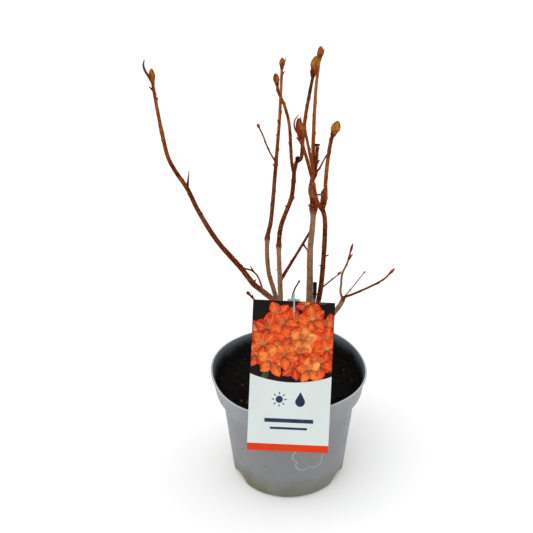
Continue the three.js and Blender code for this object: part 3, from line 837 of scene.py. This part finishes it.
grow("middle_spray", "middle_stem", TIP, (3.4, 2.4),
     [(10, 4, 0), (9, 13, -14), (4.5, 46, -21), (20, 5.5, 2), (17, 7, 7), (15, 10, 4), (17, 11, 7)],
     [(305, 0.42), (335, 0.38), (350, 0.22), (366, 0.3), (380, 0.42)], bud=(13, 7.8), ripe=0.6)
grow("middle_spray", "middle_spray", 308, (2.7, 2.3),
     [(7, -15, 17), (34, -4.5, 14), (14, -15, 12), (12, -25, 12), (6, -10, 8)],
     [(308, 0.42), (327, 0.38), (344, 0.24), (358, 0.24), (370, 0.4)], bud=(9, 5.3), ripe=0.0)
grow("central_spray", "central_stem", TIP, (3.6, 2.3),
     [(6, 26, 10), (9, -12, 20), (11, -1, 21), (15, 1, 15), (37, 2.5, 6), (22, 6, 0)],
     [(300, 0.42), (325, 0.2), (370, 0.04)], bud=(11, 5.4), ripe=-0.05)
grow("central_spray", "central_spray", 300, (2.6, 2.2), [(18, -12, -19), (16, -11, -15), (12, -11, -14)],
     [(0, 0.18)], bud=(6, 3), ripe=0.35)
grow("central_spray", "central_spray", 300, (2.8, 2.7), [(13, 8, 21), (14, 3, 19)],
     [(300, 0.42), (312, 0.6), (317, 0.44), (322, 0.5), (324.5, 1.3)], knuckle=(325.5, 1.9, 1.3))
grow("central_spray", "central_spray", 301, (1.5, 1.2), [(9, 35, 15), (6, 29, 21), (5, 34, 24)],
     [(0, 0.45)])
grow("right_spray", "right_stem", TIP, (3.2, 2.4),
     [(9, -29, -26), (11, -17, -16), (13, -11, -9), (31, -15.5, -8), (6, -22, -7), (3, -6, -7)],
     [(278, 0.42), (292, 0.2), (309, 0.32), (345, 0.34)], bud=(16, 6.4), ripe=-0.15)
grow("right_spray", "right_spray", 278, (3.2, 2.9),
     [(13, 10, -13), (15, -2, -15), (29, 3.5, -14), (12, 8, -16), (4, 16, -16)],
     [(280, 0.46), (287, 0.4), (297, 0.22), (326, 0.22), (341, 0.42)], bud=(12, 7.5), ripe=0.95)
grow("right_spray", "right_spray", 279, (3.6, 3.2), [(8, 5, 14), (7, 2, 12)],
     [(290, 0.36), (291.5, 1.1), (294, 1.3)])
grow("low_spray", "low_branch", TIP, (2.1, 1.5),
     [(8, -17, 0), (7, 3, 16), (10, 5, 11), (11, 26, 21), (9, 17, 22)],
     [(190, 0.9), (225, 0.8), (238, 0.4)], bud=(9, 2.2), ripe=-0.1)
grow("low_spray", "low_spray", 191, (2, 1.5), [(7, 54, -32), (34, 47, -28), (12, 42, -23), (5, 33, -15)],
     [(191, 0.8), (196, 0.5), (224, 0.3)], bud=(8, 2.4), ripe=0.1)
grow("low_spray", "low_spray", 192.5, (1.1, 0.9), [(13, 50, 34), (14, 54, 43), (3, 52, 39)], [(0, 1.04)],
     bud=(3, 1.4), ripe=0.3, source=1)
grow("left_side_twig", "left_stem", 196, (1.8, 1.3),
     [(15, -9, -24), (10, -18, -24), (7, -41, -17), (5, -79, 11), (5, -68, 11)], [(219, 0.9), (223, 0.5)])
grow("middle_side_twig", "middle_stem", 207, (2.9, 2.0), [(27, 38, 33), (29, 36, 30)],
     [(210, 0.5), (250, 0.55)])
grow("middle_side_twig", "middle_side_twig", 234, (1.6, 1.3), [(8, 147, 0)], [(0, 0.5)])
grow("right_side_twig", "right_stem", 198, (1.4, 1.1), [(12, 61, 30), (8, 68, 39), (2, 60, 36)],
     [(0, 0.85)], bud=(4, 2.4), ripe=0.85)
grow("low_left_twig", "left_trunk", 140, (2.4, 1.5), [(51, -24.5, -16), (15, -35, -16), (4, -33, -15)],
     [(190, 0.8), (200, 0.4)], bud=(5, 3.1), ripe=-0.2)
grow("front_twig", "root_crown", 110, (2.2, 1.2), [(92, -2.2, -18), (14, 9, -14), (9, 21, -18)],
     [(198, 0.95), (206, 1.25), (218, 1.3)], bud=(4, 1.7), ripe=0.1)
grow("cut_stub", "central_stem", 160, (3.4, 3.2), [(33, 12, -20), (16, 2, -4)], [(185, 1.0), (197, 1.25)])
grow("cut_stub", "cut_stub", 194, (1.2, 0.9), [(4, 67, -6)], [(0, 0.5)])


def bark_look():
    """Young shoots are smooth and orange-brown, old bark is grey with long cracks."""
    look = Look("azalea_bark", Specular_IOR_Level=0.04)
    grain = look.attribute("grain", "Vector")
    age = look.attribute("tone")
    patches = look.noise(0.4, 3, where=grain)
    broad = look.noise(1.0, 2, 0.55, grain, (0.34, 0.34, 0.26))
    streaks = look.noise(1.0, 5, 0.7, grain, (1.1, 1.1, 1.7))
    fine = look.noise(1.0, 4, 0.7, grain, (4, 4, 3))
    flecks = look.noise(1.0, 3, 0.65, grain, (1.1, 1.1, 5.0))
    shifted = look.math("ADD", age, look.span(patches, 0.36, 0.64, -0.16, 0.08))
    base = look.ramp(look.times(shifted, 0.8), [
        (0.0, 0xA26630), (0.13, 0x92420C), (0.34, 0x541002), (0.5, 0x722C0E),
        (0.66, 0x885636), (0.8, 0x9A765A), (0.92, 0x3A2E1A), (1.0, 0x1A150D),
    ])
    dark = look.mix(0.7, base, 0x240A04)
    light = look.mix(0.55, base, 0xD08A50)
    young = look.span(age, 0.6, 1.0, 1, 0.5)
    alive = look.span(age, 1.15, 1.0)
    old = look.times(look.span(age, 0.5, 0.95), alive)
    colour = look.coats(base, [
        (look.times(young, look.span(streaks, 0.49, 0.57, 0, 0.85)), dark),
        (look.times(young, look.span(broad, 0.48, 0.6, 0, 0.4)), dark),
        (look.times(old, look.span(fine, 0.5, 0.66, 0, 0.6)), 0xC4AA90),
        (look.times(old, look.span(flecks, 0.46, 0.38, 0, 0.65)), 0x5E3420),
        (look.times(alive, look.span(flecks, 0.56, 0.62, 0, 0.7)), light),
    ])
    normal = look.bump(streaks, 0.5, look.bump(fine, 0.25))
    return look.done(colour, look.span(age, 0.1, 0.8, 0.5, 0.85), normal)


def add_root_flare(skin, crown):
    """The short foot of the plant, spread out at the soil in lobes."""

    def radius(travel, angle):
        along = travel / MM
        lobe = 1 + 0.4 * math.cos(FLARE_LOBES * angle)
        ridges = 0.45 * noise.noise(Vector((2 * math.cos(angle), 2 * math.sin(angle), along / 5)))
        taper = lerp(6.6, 5.6, travel / crown.length)
        return (taper + FLARE * math.exp(-along / FLARE_HEIGHT) * lobe + ridges) * MM

    add_tube(skin, crown.line, 60, radius, lambda travel: 1.0, seed=1)


def make_wood():
    old = Skin()
    add_root_flare(old, plant["root_crown"][0])
    for name in OLD_WOOD[1:]:
        plant[name][0].add_to(old, 20)
    old.made("old_wood", bark, "old_bark", OLD_WOOD)
    stems = Skin()
    for name in STEM_WOOD:
        plant[name][0].add_to(stems, 16)
    stems.made("stem_wood", bark, "stem_bark", STEM_WOOD)
    sprays = [name for name in plant if name not in OLD_WOOD + STEM_WOOD]
    shoots = Skin()
    for name in sprays:
        for shoot in plant[name]:
            shoot.add_to(shoots, 14)
    shoots.made("shoot_wood", bark, "young_shoots", sprays)


bark = bark_look()
make_wood()

# ---------------------------------------------------------------- buds

# Rows of scales from the neck up: (start, reach, width, share of the bud's ripeness), the first
# two in bud lengths.
BUD_SCALE_ROWS = [
    (-0.08, 0.3, 1.0, 0.0), (0.06, 0.42, 1.0, 0.5), (0.2, 0.56, 1.1, 1.0), (0.42, 0.57, 0.95, 1.0),
]
BUD_SCALES_ROUND = 4
BUD_SCALE_OVERLAP = 0.62  # half a scale's width, as a share of its room in the row
BUD_SIDES = 12
BUD_CORE_SHARE = 0.86  # the scales fill the rest of the bud's diameter
BUD_SKIN = 0.16  # thickness of a scale


def bud_outline(length, diameter):
    """Stops of (height, radius) of the bud's core, in millimetres."""
    shares = [(0.1, 0.31), (0.24, 0.4), (0.4, 0.49), (0.54, 0.5), (0.7, 0.42), (0.84, 0.27), (0.94, 0.12)]
    stops = [(-1, 0.3)] + [(up * length, share) for up, share in shares] + [(length, 0.02)]
    return [(height, BUD_CORE_SHARE * share * diameter) for height, share in stops]


def add_bud(skin, limb):
    length, diameter = limb.bud
    rng = random.Random(limb.seed + 100)
    up, side, across = frames_along(limb.line)[-1]
    tip = limb.line[-1]
    stops = bud_outline(length, diameter)

    def place(radius, angle, height):
        out = side * math.cos(angle) + across * math.sin(angle)
        return tip + (up * height + out * radius) * MM

    def core_point(radius, angle, height):
        return skin.point(place(radius, angle, height), (0, 0.9, 0.5), limb.ripe)

    first = len(skin.points)
    for height, radius in stops:
        for angle in circle(BUD_SIDES):
            core_point(radius, angle, height)
    skin.rings(first, BUD_SIDES, len(stops), core_point(0, 0, -1), core_point(0, 0, length))
    for number, row in enumerate(BUD_SCALE_ROWS):
        for k in range(BUD_SCALES_ROUND):
            heading = 2 * math.pi * (k + 0.5 * number + rng.uniform(-0.08, 0.08)) / BUD_SCALES_ROUND
            ripe = row[3] * (0.25 + 0.75 * limb.ripe) + rng.uniform(-0.06, 0.06)
            add_bud_scale(skin, limb.bud, row[:3], stops, place, heading, ripe, rng.random())


def add_bud_scale(skin, bud, row, stops, place, heading, ripe, chance):
    """One pointed scale that lies on the bud and lifts a little at its tip."""
    length, diameter = bud
    start, reach, wide = row
    half = wide * BUD_SCALE_OVERLAP * 2 * math.pi / BUD_SCALES_ROUND

    def point_at(v, u, layer):
        height = start * length + reach * length * v
        width = half * max(0.06, (1 - v ** 2.4) ** 0.6)
        lift = 0.02 * diameter + (0.03 + 0.02 * chance) * diameter * v * (1 - 0.6 * u * u)
        radius = by_stops(min(height, stops[-2][0]), stops) + lift + BUD_SKIN * layer
        skin.point(place(radius, heading + u * width, height), (u, v, chance), ripe)

    skin.sheet(7, 5, point_at, flip=True)


def bud_look():
    look = Look("bud_scales", Specular_IOR_Level=0.07)
    grain = look.attribute("grain", "Vector")
    along = look.axis(grain, "Y")
    fine = look.noise(1500.0, 4, 0.65)
    base = look.ramp(look.attribute("tone"), [
        (0.0, 0x701802), (0.25, 0x86360A), (0.5, 0x985814), (0.75, 0x9C6C1A), (1.0, 0xAA8010),
    ])
    veins = look.noise(1.0, 3, 0.6, grain, (6.0, 0.7, 9.0))
    aside = look.math("ABSOLUTE", look.axis(grain, "X"), 0)
    rim = look.math("MAXIMUM", look.span(aside, 0.74, 1.0), look.span(along, 0.8, 1.0))
    colour = look.coats(base, [
        (look.span(look.axis(grain, "Z"), 0.5, 1.0, 0, 0.5), 0xC87C36),
        (look.span(veins, 0.48, 0.58, 0, 0.7), 0x5A1E06),
        (look.times(rim, 0.6), 0x42140A),
        (look.span(along, 0.4, 0.0, 0, 0.45), 0x4A1C0C),
        (look.span(look.noise(2600.0, 2), 0.62, 0.72, 0, 0.15), 0xC9B08A),
    ])
    return look.done_fine(colour, fine, 0.45, 0.65, 0.2)


def make_buds():
    skin = Skin()
    for limbs in plant.values():
        for limb in limbs:
            if limb.bud:
                add_bud(skin, limb)
    skin.made("bud_scales", bud_look(), "young_shoots")


make_buds()

# ---------------------------------------------------------------- spurs and dry leaves

# Small pegs of wood on a limb's numbered shoot: (height, degrees right, degrees back, length, girth),
# and the age of a peg that was cut blunt and has died.
SPURS = [
    ("left_stem", 0, [(206, 35, -30, 5.5, 2.8), (300, 10, -10, 15.0, 1.9), (302, -40, -30, 1.6, 3.0),
                      (313, -50, -10, 1.8, 3.2)]),
    ("left_spray", 0, [(371, 35, 0, 3.0, 1.8), (379, -50, 0, 4.2, 1.8), (382, -20, -30, 3.0, 1.6)]),
    ("rear_stem", 0, [(200, -50, 20, 3.0, 2.2), (301, -55, 0, 2.4, 1.8)]),
    ("rear_spray", 0, [(322, 45, 0, 1.8, 2.2), (327, -40, 0, 2.0, 2.4), (339, -35, -10, 2.2, 2.6),
                       (379, 50, 0, 3.0, 1.8)]),
    ("middle_spray", 1, [(369, -40, 0, 3.0, 1.8)]),
    ("middle_stem", 0, [(217.5, -70, -10, 3.0, 0.9), (277, -45, -10, 2.2, 2.0), (284, 48, -10, 3.4, 3.0)]),
    ("middle_spray", 0, [(319.5, -12, -20, 2.2, 3.6, 1.3), (385.5, -22, -10, 5.0, 2.6),
                         (387, 35, -10, 5.6, 2.8)]),
    ("right_spray", 2, [(291.5, -92, -10, 4.6, 1.3, 1.2), (291, 6, -10, 3.6, 1.6, 1.2)]),
    ("central_stem", 0, [(272.5, -62, -20, 4.6, 2.4), (275, 40, -50, 2.5, 3.0)]),
    ("central_spray", 2, [(310, 50, 10, 3.2, 2.6)]),
    ("right_stem", 0, [(221, -65, -10, 3.0, 1.2), (232, 72, -10, 3.8, 1.8)]),
    ("right_spray", 1, [(288, 40, -10, 2.2, 3.0)]),
    ("right_spray", 0, [(341, -50, -10, 4.2, 1.8)]),
    ("low_branch", 0, [(188.5, 25, -30, 7.0, 2.4)]),
    ("low_spray", 1, [(212, 62, -20, 7.5, 1.1)]),
    ("low_spray", 0, [(225, 38, 0, 5.5, 2.4)]),
    ("left_side_twig", 0, [(222, -24, 0, 5.8, 1.7)]),
    ("right_side_twig", 0, [(207, 30, 0, 2.0, 1.2)]),
    ("low_left_twig", 0, [(197, 10, -10, 2.6, 2.4)]),
]

# Thin dried leaves and awns on a spray's first shoot: (spray, width, offsets from the shoot's tip).
AWNS = [
    ("left_spray", 2.3, [(-0.6, -1.2, 0.0), (-2.6, -1.6, 5.0), (-4.9, -1.8, 9.5), (-5.6, -1.8, 13.4),
                         (-4.6, -1.8, 17.3)]),
    ("rear_spray", 1.0, [(1.8, -0.5, 3.0), (2.8, -0.6, 6.0), (3.2, -0.6, 9.0)]),
    ("central_spray", 1.2, [(1.8, -1.0, 2.0), (3.0, -1.2, 5.0), (3.8, -1.0, 9.4)]),
    ("right_spray", 1.5, [(-2.0, -1.6, 3.0), (-3.8, -2.6, 6.6), (-4.7, -2.8, 10.6), (-3.9, -3.0, 14.6),
                          (-1.0, -2.6, 18.6)]),
    ("right_spray", 0.9, [(0.2, -2.6, 12.0), (0.6, -2.8, 14.5), (0.4, -2.8, 17.2)]),
]


def make_spurs():
    skin = Skin()
    pegs = [(plant[name][shoot], *peg) for name, shoot, rows in SPURS for peg in rows]
    for number, (limb, height, right, back, length, girth, *dead) in enumerate(pegs):
        age, tip_share = (dead[0], 1.05) if dead else (0.42, 0.35)
        foot = limb.at_height(height)
        reach = (length + limb.girth[1] / 2 - 0.6) * MM
        aim = leaning(right, back)
        points = [foot + aim * reach * i / 8 + Vector((0, 0, 0.5 * MM * (i / 8) ** 2)) for i in range(9)]

        def radius(travel, angle):
            knobbly = 1 + 0.2 * noise.noise(Vector((math.cos(angle), math.sin(angle), travel / MM + number)))
            return girth / 2 * MM * knobbly * lerp(1.3, tip_share, travel / reach)

        add_tube(skin, points, 10, radius, lambda travel: age, seed=number)
    skin.made("spurs", bark, "young_shoots")


def awn_look():
    look = Look("dry_leaf", Roughness=0.75, Specular_IOR_Level=0.2)
    fine = look.noise(2.0, 4, where=look.attribute("grain", "Vector"))
    colour = look.mix(look.span(fine, 0.35, 0.7), 0x421A0E, 0x7C3C1E)
    return look.done_fine(colour, fine, 0.6, 0.85, 0.2)


def make_awns():
    skin = Skin()
    for number, (name, width, offsets) in enumerate(AWNS):
        tip = plant[name][0].line[-1]
        points = evenly(smooth_line([tip + Vector(offset) * MM for offset in offsets]), 0.8 * MM)
        length = sum((b - a).length for a, b in zip(points, points[1:]))

        def radius(travel, angle):
            taper = math.sin(math.pi * (0.12 + 0.83 * travel / length)) ** 0.6
            return width / 2 * MM * taper * (abs(math.cos(angle)) * 0.65 + 0.35)

        add_tube(skin, points, 8, radius, lambda travel: 0.5, seed=number)
    skin.made("dry_leaves", awn_look(), "young_shoots")


make_spurs()
make_awns()

# ---------------------------------------------------------------- card

CARD_WIDTH = 70
CARD_BELOW_RIM = 31
CARD_ABOVE_RIM = 99
CARD_OFFSET = 0.4
CARD_THICKNESS = 0.6
CARD_CORNER = 0.6
CARD_LEAN = 23.3
CARD_TURN = 2.6
CARD_HOLE = (0.3, 89.5)
CARD_HOLE_RADIUS = 2.6
CLEARANCE = 0.3

PRINT_THICKNESS = 0.02
PANEL_EDGE = 35.6  # height of the picture's lower border at the card's sides
PANEL_DIP = 6.6  # the border hangs this much lower in the middle
STRIP_HEIGHT = 6.2
PETAL_RISE = 0.004  # each petal, and each blossom, lies this much over the one before
BLOSSOM_RISE = 0.006
STAMEN_WIDTH = 0.4

ORANGES = [0xB82000, 0xD23004, 0xE03E06, 0xE65412, 0xEC742A, 0xF8A85C]
BLOSSOMS = [  # right, up, radius, turn in degrees, orange; the hindmost first
    (12, 96, 12, 50, 0), (31, 78, 13, 10, 0), (-31, 72, 13, 60, 0), (2, 81, 14, 30, 0),
    (-14, 60, 14, 5, 0), (17, 58, 14, 40, 1), (32, 52, 12, 65, 0), (-30, 51, 12, 20, 1), (3, 42, 12, 70, 0),
    (-13, 86, 14, 50, 2), (-20, 74, 14, 12, 1), (15, 74, 15, 60, 3), (-2, 68, 13, 35, 2),
    (29, 65, 14, 5, 2), (-24, 60, 14, 48, 3), (6, 54, 14, 22, 1), (24, 45, 13, 55, 2), (-17, 46, 14, 8, 4),
    (17, 83, 13, 40, 3), (-8, 79, 13, 66, 2), (9, 66, 13, 10, 5),
    (-6, 52, 13, 58, 3), (15, 40, 12, 30, 4), (31, 58, 11, 44, 2),
]
LEAVES = [(-33, 66, 200, 12), (21, 98, 20, 12), (33, 88, 330, 12), (-20, 40, 250, 13), (8, 36, 300, 13),
          (34, 44, 300, 12)]


def card_matrix():
    """The card's own frame: x across, y up its face, z out of its front."""
    turn = Matrix.Rotation(math.radians(90 - CARD_LEAN), 4, "X")
    turn = turn @ Matrix.Rotation(math.radians(-CARD_TURN), 4, "Z")
    front = turn.to_3x3() @ Vector((0, 0, 1))
    reach = CLEARANCE + max(
        Vector(((POT_RIM_RADIUS + rim_bulge(a)) * math.cos(a), (POT_RIM_RADIUS + rim_bulge(a)) * math.sin(a),
                POT_HEIGHT)).dot(front)
        for a in (math.radians(degree) for degree in range(360))
    )
    y = (reach - front.z * POT_HEIGHT) / front.y
    return Matrix.Translation(Vector((CARD_OFFSET, y, POT_HEIGHT)) * MM) @ turn @ Matrix.Scale(MM, 4)


CARD_FRAME = card_matrix()


def flat_solid(name, outlines, low, high, bevel=0.0):
    """A mesh in the card's frame: outlines filled in its plane, from low to high."""
    curve = bpy.data.curves.new(name, "CURVE")
    curve.dimensions = "2D"
    curve.fill_mode = "BOTH"
    curve.extrude = (high - low) / 2 - bevel
    curve.bevel_depth = bevel
    curve.bevel_resolution = 2
    curve.offset = -bevel
    for outline in outlines:
        spline = curve.splines.new("POLY")
        spline.points.add(len(outline) - 1)
        for point, (x, y) in zip(spline.points, outline):
            point.co = (x, y, 0, 1)
        spline.use_cyclic_u = True
    source = bpy.data.objects.new(name, curve)
    mesh = bpy.data.meshes.new_from_object(source)
    bpy.data.objects.remove(source)
    bpy.data.curves.remove(curve)
    mesh.transform(CARD_FRAME @ Matrix.Translation((0, 0, (low + high) / 2)))
    mesh.name = name
    return mesh


def arc(x, y, radius, start, end, steps):
    """Points on a circle, from one angle in degrees to another."""
    angles = [math.radians(lerp(start, end, i / steps)) for i in range(steps + 1)]
    return [(x + radius * math.cos(a), y + radius * math.sin(a)) for a in angles]


def card_outline(low, high, inset=0.0):
    right, c = CARD_WIDTH / 2 - inset, CARD_CORNER
    return (arc(right - c, low + c, c, -90, 0, 5) + arc(right - c, high - c, c, 0, 90, 5)
            + arc(-right + c, high - c, c, 90, 180, 5) + arc(-right + c, low + c, c, 180, 270, 5))


def hole_outline(grow=0.0):
    return arc(*CARD_HOLE, CARD_HOLE_RADIUS + grow, 360, 12, 29)


def border_height(x):
    return PANEL_EDGE - PANEL_DIP * math.cos(math.pi * x / CARD_WIDTH) ** 0.8


def card_look():
    look = Look("card_white", Specular_IOR_Level=0.5, Coat_Weight=0.15)
    fibre = look.noise(500.0, 4)
    colour = look.mix(look.span(look.noise(25.0, 2), 0.3, 0.7), 0xCCD4D2, 0xD2DAD8)
    return look.done_fine(colour, fibre, 0.38, 0.5, 0.02)


def ink_look(name, dark, light, scale=120.0):
    look = Look(name, Specular_IOR_Level=0.15, Coat_Weight=0.04)
    fine = look.noise(1200.0, 2)
    colour = look.mix(look.span(look.noise(scale, 4, 0.6), 0.4, 0.66), dark, light)
    return look.done_fine(colour, fine, 0.36, 0.48, 0.02)


def petal_look():
    """Streaked petals: darker and redder at the throat, pale along the middle and at the rim."""
    look = Look("petal_ink", Specular_IOR_Level=0.15, Coat_Weight=0.04)
    grain = look.attribute("grain", "Vector")
    along = look.axis(grain, "Y")
    aside = look.math("ABSOLUTE", look.axis(grain, "X"), 0)
    streaks = look.noise(1.0, 4, 0.6, grain, (5.0, 1.1, 1.0))
    base = look.ramp(look.attribute("tone"), [(i / 5, colour) for i, colour in enumerate(ORANGES)])
    colour = look.coats(base, [
        (look.span(look.noise(200.0, 4, 0.65), 0.52, 0.36, 0, 0.8), 0x9A1600),
        (look.span(streaks, 0.54, 0.68, 0, 0.6), 0xFF9A58),
        (look.span(along, 0.5, 0.05, 0, 0.9), 0x7A1606),
        (look.span(aside, 0.7, 1.0, 0, 0.55), 0x9E2204),
        (look.span(aside, 0.4, 0.0, 0, 0.28), 0xF49A5C),
    ])
    rough = look.span(look.noise(1200.0, 2), 0.3, 0.7, 0.36, 0.48)
    return look.done(colour, rough, look.bump(streaks, 0.03))


def add_petal(skin, x, y, heading, length, width, level, tone, chance):
    """A thin closed petal that lies in the card's plane, pointed at its tip."""
    aim = Vector((math.cos(heading), math.sin(heading), 0))
    aside = Vector((-aim.y, aim.x, 0))

    def point_at(v, u, layer):
        half = width / 2 * math.sin(math.pi * min(1, 0.05 + 0.93 * v)) ** 0.75 + 0.1
        tip = 1 - 0.05 * v ** 2 * (1 + math.sin(5 * u + 7 * chance))
        place = Vector((x, y, 0)) + aim * (length * v * tip) + aside * (u * half)
        place.z = level + PRINT_THICKNESS * layer
        skin.point(CARD_FRAME @ place, (u, v, chance), tone)

    skin.sheet(8, 7, point_at)


def inside_panel(skin):
    """Pulls what hangs over the picture's edges back to them, in the card's plane."""
    to_card = CARD_FRAME.inverted()
    edge = CARD_WIDTH / 2 - 0.3
    for i, point in enumerate(skin.points):
        local = to_card @ point
        local.x = max(-edge, min(edge, local.x))
        local.y = max(border_height(local.x) + 0.2, min(CARD_ABOVE_RIM - 0.4, local.y))
        skin.points[i] = CARD_FRAME @ local


def make_blossoms():
    rng = random.Random(23)
    petals = Skin()
    stamens = Skin()
    leaves = Skin()
    level = CARD_THICKNESS + 3 * PRINT_THICKNESS
    for x, y, radius, turn, orange in BLOSSOMS:
        for k in range(5):
            heading = math.radians(turn + 72 * k + rng.uniform(-7, 7))
            tone = min(1, max(0, (orange + rng.uniform(-0.8, 0.8)) / 5))
            length = radius * rng.uniform(0.9, 1.08)
            width = radius * rng.uniform(0.6, 0.75)
            add_petal(petals, x, y, heading, length, width, level, tone, rng.random())
            level += PETAL_RISE
        for k in range(6):
            heading = math.radians(turn + 12 + 20 * k)
            length = radius * rng.uniform(0.45, 0.62)
            add_petal(stamens, x, y, heading, length, STAMEN_WIDTH, level + PRINT_THICKNESS, 0, 0.5)
        level += BLOSSOM_RISE
    level = CARD_THICKNESS + 1.5 * PRINT_THICKNESS
    for x, y, turn, length in LEAVES:
        add_petal(leaves, x, y, math.radians(turn), length, length * 0.42, level, 0, rng.random())
    printed = {
        "card_petals": (petals, petal_look()),
        "card_stamens": (stamens, ink_look("stamen_ink", 0xC06428, 0xE09450)),
        "card_leaves": (leaves, ink_look("leaf_ink", 0x1E2A18, 0x3D4F26)),
    }
    for name, (skin, look) in printed.items():
        inside_panel(skin)
        skin.made(name, look, "label_plastic", smooth=False)


def sun_and_drop():
    """Outlines of a plain sun, a water drop and a few plain bars."""
    shapes = []
    sun_x, drop_x, y = -9, 9, 14
    shapes.append(arc(sun_x, y, 3.1, 0, 345, 23))
    for k in range(8):
        a = math.radians(45 * k)
        along = Vector((math.cos(a), math.sin(a)))
        aside = Vector((-along.y, along.x)) * 0.45
        middle = Vector((sun_x, y))
        ray = [middle + along * 4.3 - aside, middle + along * 6.4 - aside,
               middle + along * 6.4 + aside, middle + along * 4.3 + aside]
        shapes.append([tuple(p) for p in ray])
    drop = [(drop_x, y + 7)] + arc(drop_x, y - 1.6, 4.2, 150, 390, 20)
    shapes.append(drop)
    for half, low, high in ((21, -6, -2.6), (16, -12, -10.0)):
        shapes.append([(-half, low), (half, low), (half, high), (-half, high)])
    return shapes


def panel_outline():
    right = CARD_WIDTH / 2
    steps = 40
    border = [lerp(-right, right, i / steps) for i in range(steps + 1)]
    top = card_outline(0, CARD_ABOVE_RIM)[6:18]
    return [(x, border_height(x)) for x in border] + top


def add_print(name, outlines, look):
    """A thin layer of ink on the card's face."""
    mesh = flat_solid(name, outlines, CARD_THICKNESS - 0.01, CARD_THICKNESS + PRINT_THICKNESS)
    dress(name, mesh, look)


def make_card():
    outline = card_outline(-CARD_BELOW_RIM, CARD_ABOVE_RIM)
    body = flat_solid("label_card_body", [outline, hole_outline()], 0, CARD_THICKNESS, bevel=0.08)
    dress("label_card_body", body, card_look(), ["label_card"])
    night = ink_look("night_ink", 0x030202, 0x1C0604, 90.0)
    add_print("card_panel", [panel_outline(), hole_outline(0.15)], night)
    strip = [(x, min(y, -CARD_BELOW_RIM + STRIP_HEIGHT)) for x, y in outline]
    add_print("card_strip", [strip[:8] + strip[16:]], ink_look("strip_ink", 0xD03404, 0xD63A06))
    add_print("card_marks", sun_and_drop(), ink_look("navy_ink", 0x1C2B45, 0x2A3B58))
    make_blossoms()


make_card()

# ---------------------------------------------------------------- tie

TIE_WIDTH = 1.5
TIE_DEPTH = 1.1
TIE_ROUNDING = 0.6  # of the strap's section: 1 is an oval, less is squarer
TIE_LOOP = [
    (0.3, 89.5, 0.3), (0.3, 91.5, 1.6), (0, 97, 1.6), (-0.3, 102.5, 1.3),
    (-0.5, 105.2, -0.2), (-0.6, 102.5, -1.4), (-0.4, 96, -1.4), (0, 91.1, -1.1),
]
TIE_BAR = (11, 3.4, 1)
TIE_BAR_PLACE = (-0.4, 99.2, -1.1)
CLASP = (2.3, 3.2, 1.9)
CLASP_PLACE = (-0.6, 101.0, 1.2)


def tie_look():
    look = Look("tie_plastic", Specular_IOR_Level=0.5)
    fine = look.noise(900.0, 3)
    colour = look.mix(look.span(look.noise(120.0, 2), 0.35, 0.65), 0x8A9298, 0xB4BABE)
    return look.done_fine(colour, fine, 0.35, 0.5, 0.05)


def rounded_block(size, place, bevel):
    block = bmesh.new()
    bmesh.ops.create_cube(block, size=1.0)
    for vertex in block.verts:
        vertex.co = Vector([a * b for a, b in zip(vertex.co, size)]) + Vector(place)
    bmesh.ops.bevel(block, geom=list(block.edges), offset=bevel, segments=3, affect="EDGES", profile=0.5)
    return block


def make_tie():
    loop = smooth_line(TIE_LOOP, closed=True, per_span=12)
    sides = 12
    shape = bmesh.new()
    rings = []
    for i, point in enumerate(loop):
        tangent = (loop[(i + 1) % len(loop)] - loop[i - 1]).normalized()
        across = Vector((1, 0, 0)) - tangent * tangent.x
        across.normalize()
        out = tangent.cross(across)
        ring = []
        for angle in circle(sides):
            x, y = (math.copysign(abs(v) ** TIE_ROUNDING, v) for v in (math.cos(angle), math.sin(angle)))
            place = point + across * x * TIE_WIDTH / 2 + out * y * TIE_DEPTH / 2
            ring.append(shape.verts.new(place))
        rings.append(ring)
    for ring, after in zip(rings, rings[1:] + rings[:1]):
        for k in range(sides):
            shape.faces.new((ring[k], ring[(k + 1) % sides], after[(k + 1) % sides], after[k]))
    mesh = bpy.data.meshes.new("tie_strap")
    for block in (rounded_block(TIE_BAR, TIE_BAR_PLACE, 0.4), rounded_block(CLASP, CLASP_PLACE, 0.5)):
        part = bpy.data.meshes.new("part")
        block.to_mesh(part)
        shape.from_mesh(part)
        block.free()
        bpy.data.meshes.remove(part)
    bmesh.ops.recalc_face_normals(shape, faces=shape.faces)
    shape.to_mesh(mesh)
    shape.free()
    mesh.transform(CARD_FRAME)
    mesh.polygons.foreach_set("use_smooth", [True] * len(mesh.polygons))
    dress("tie_strap", mesh, tie_look(), ["label_tie"])


make_tie()
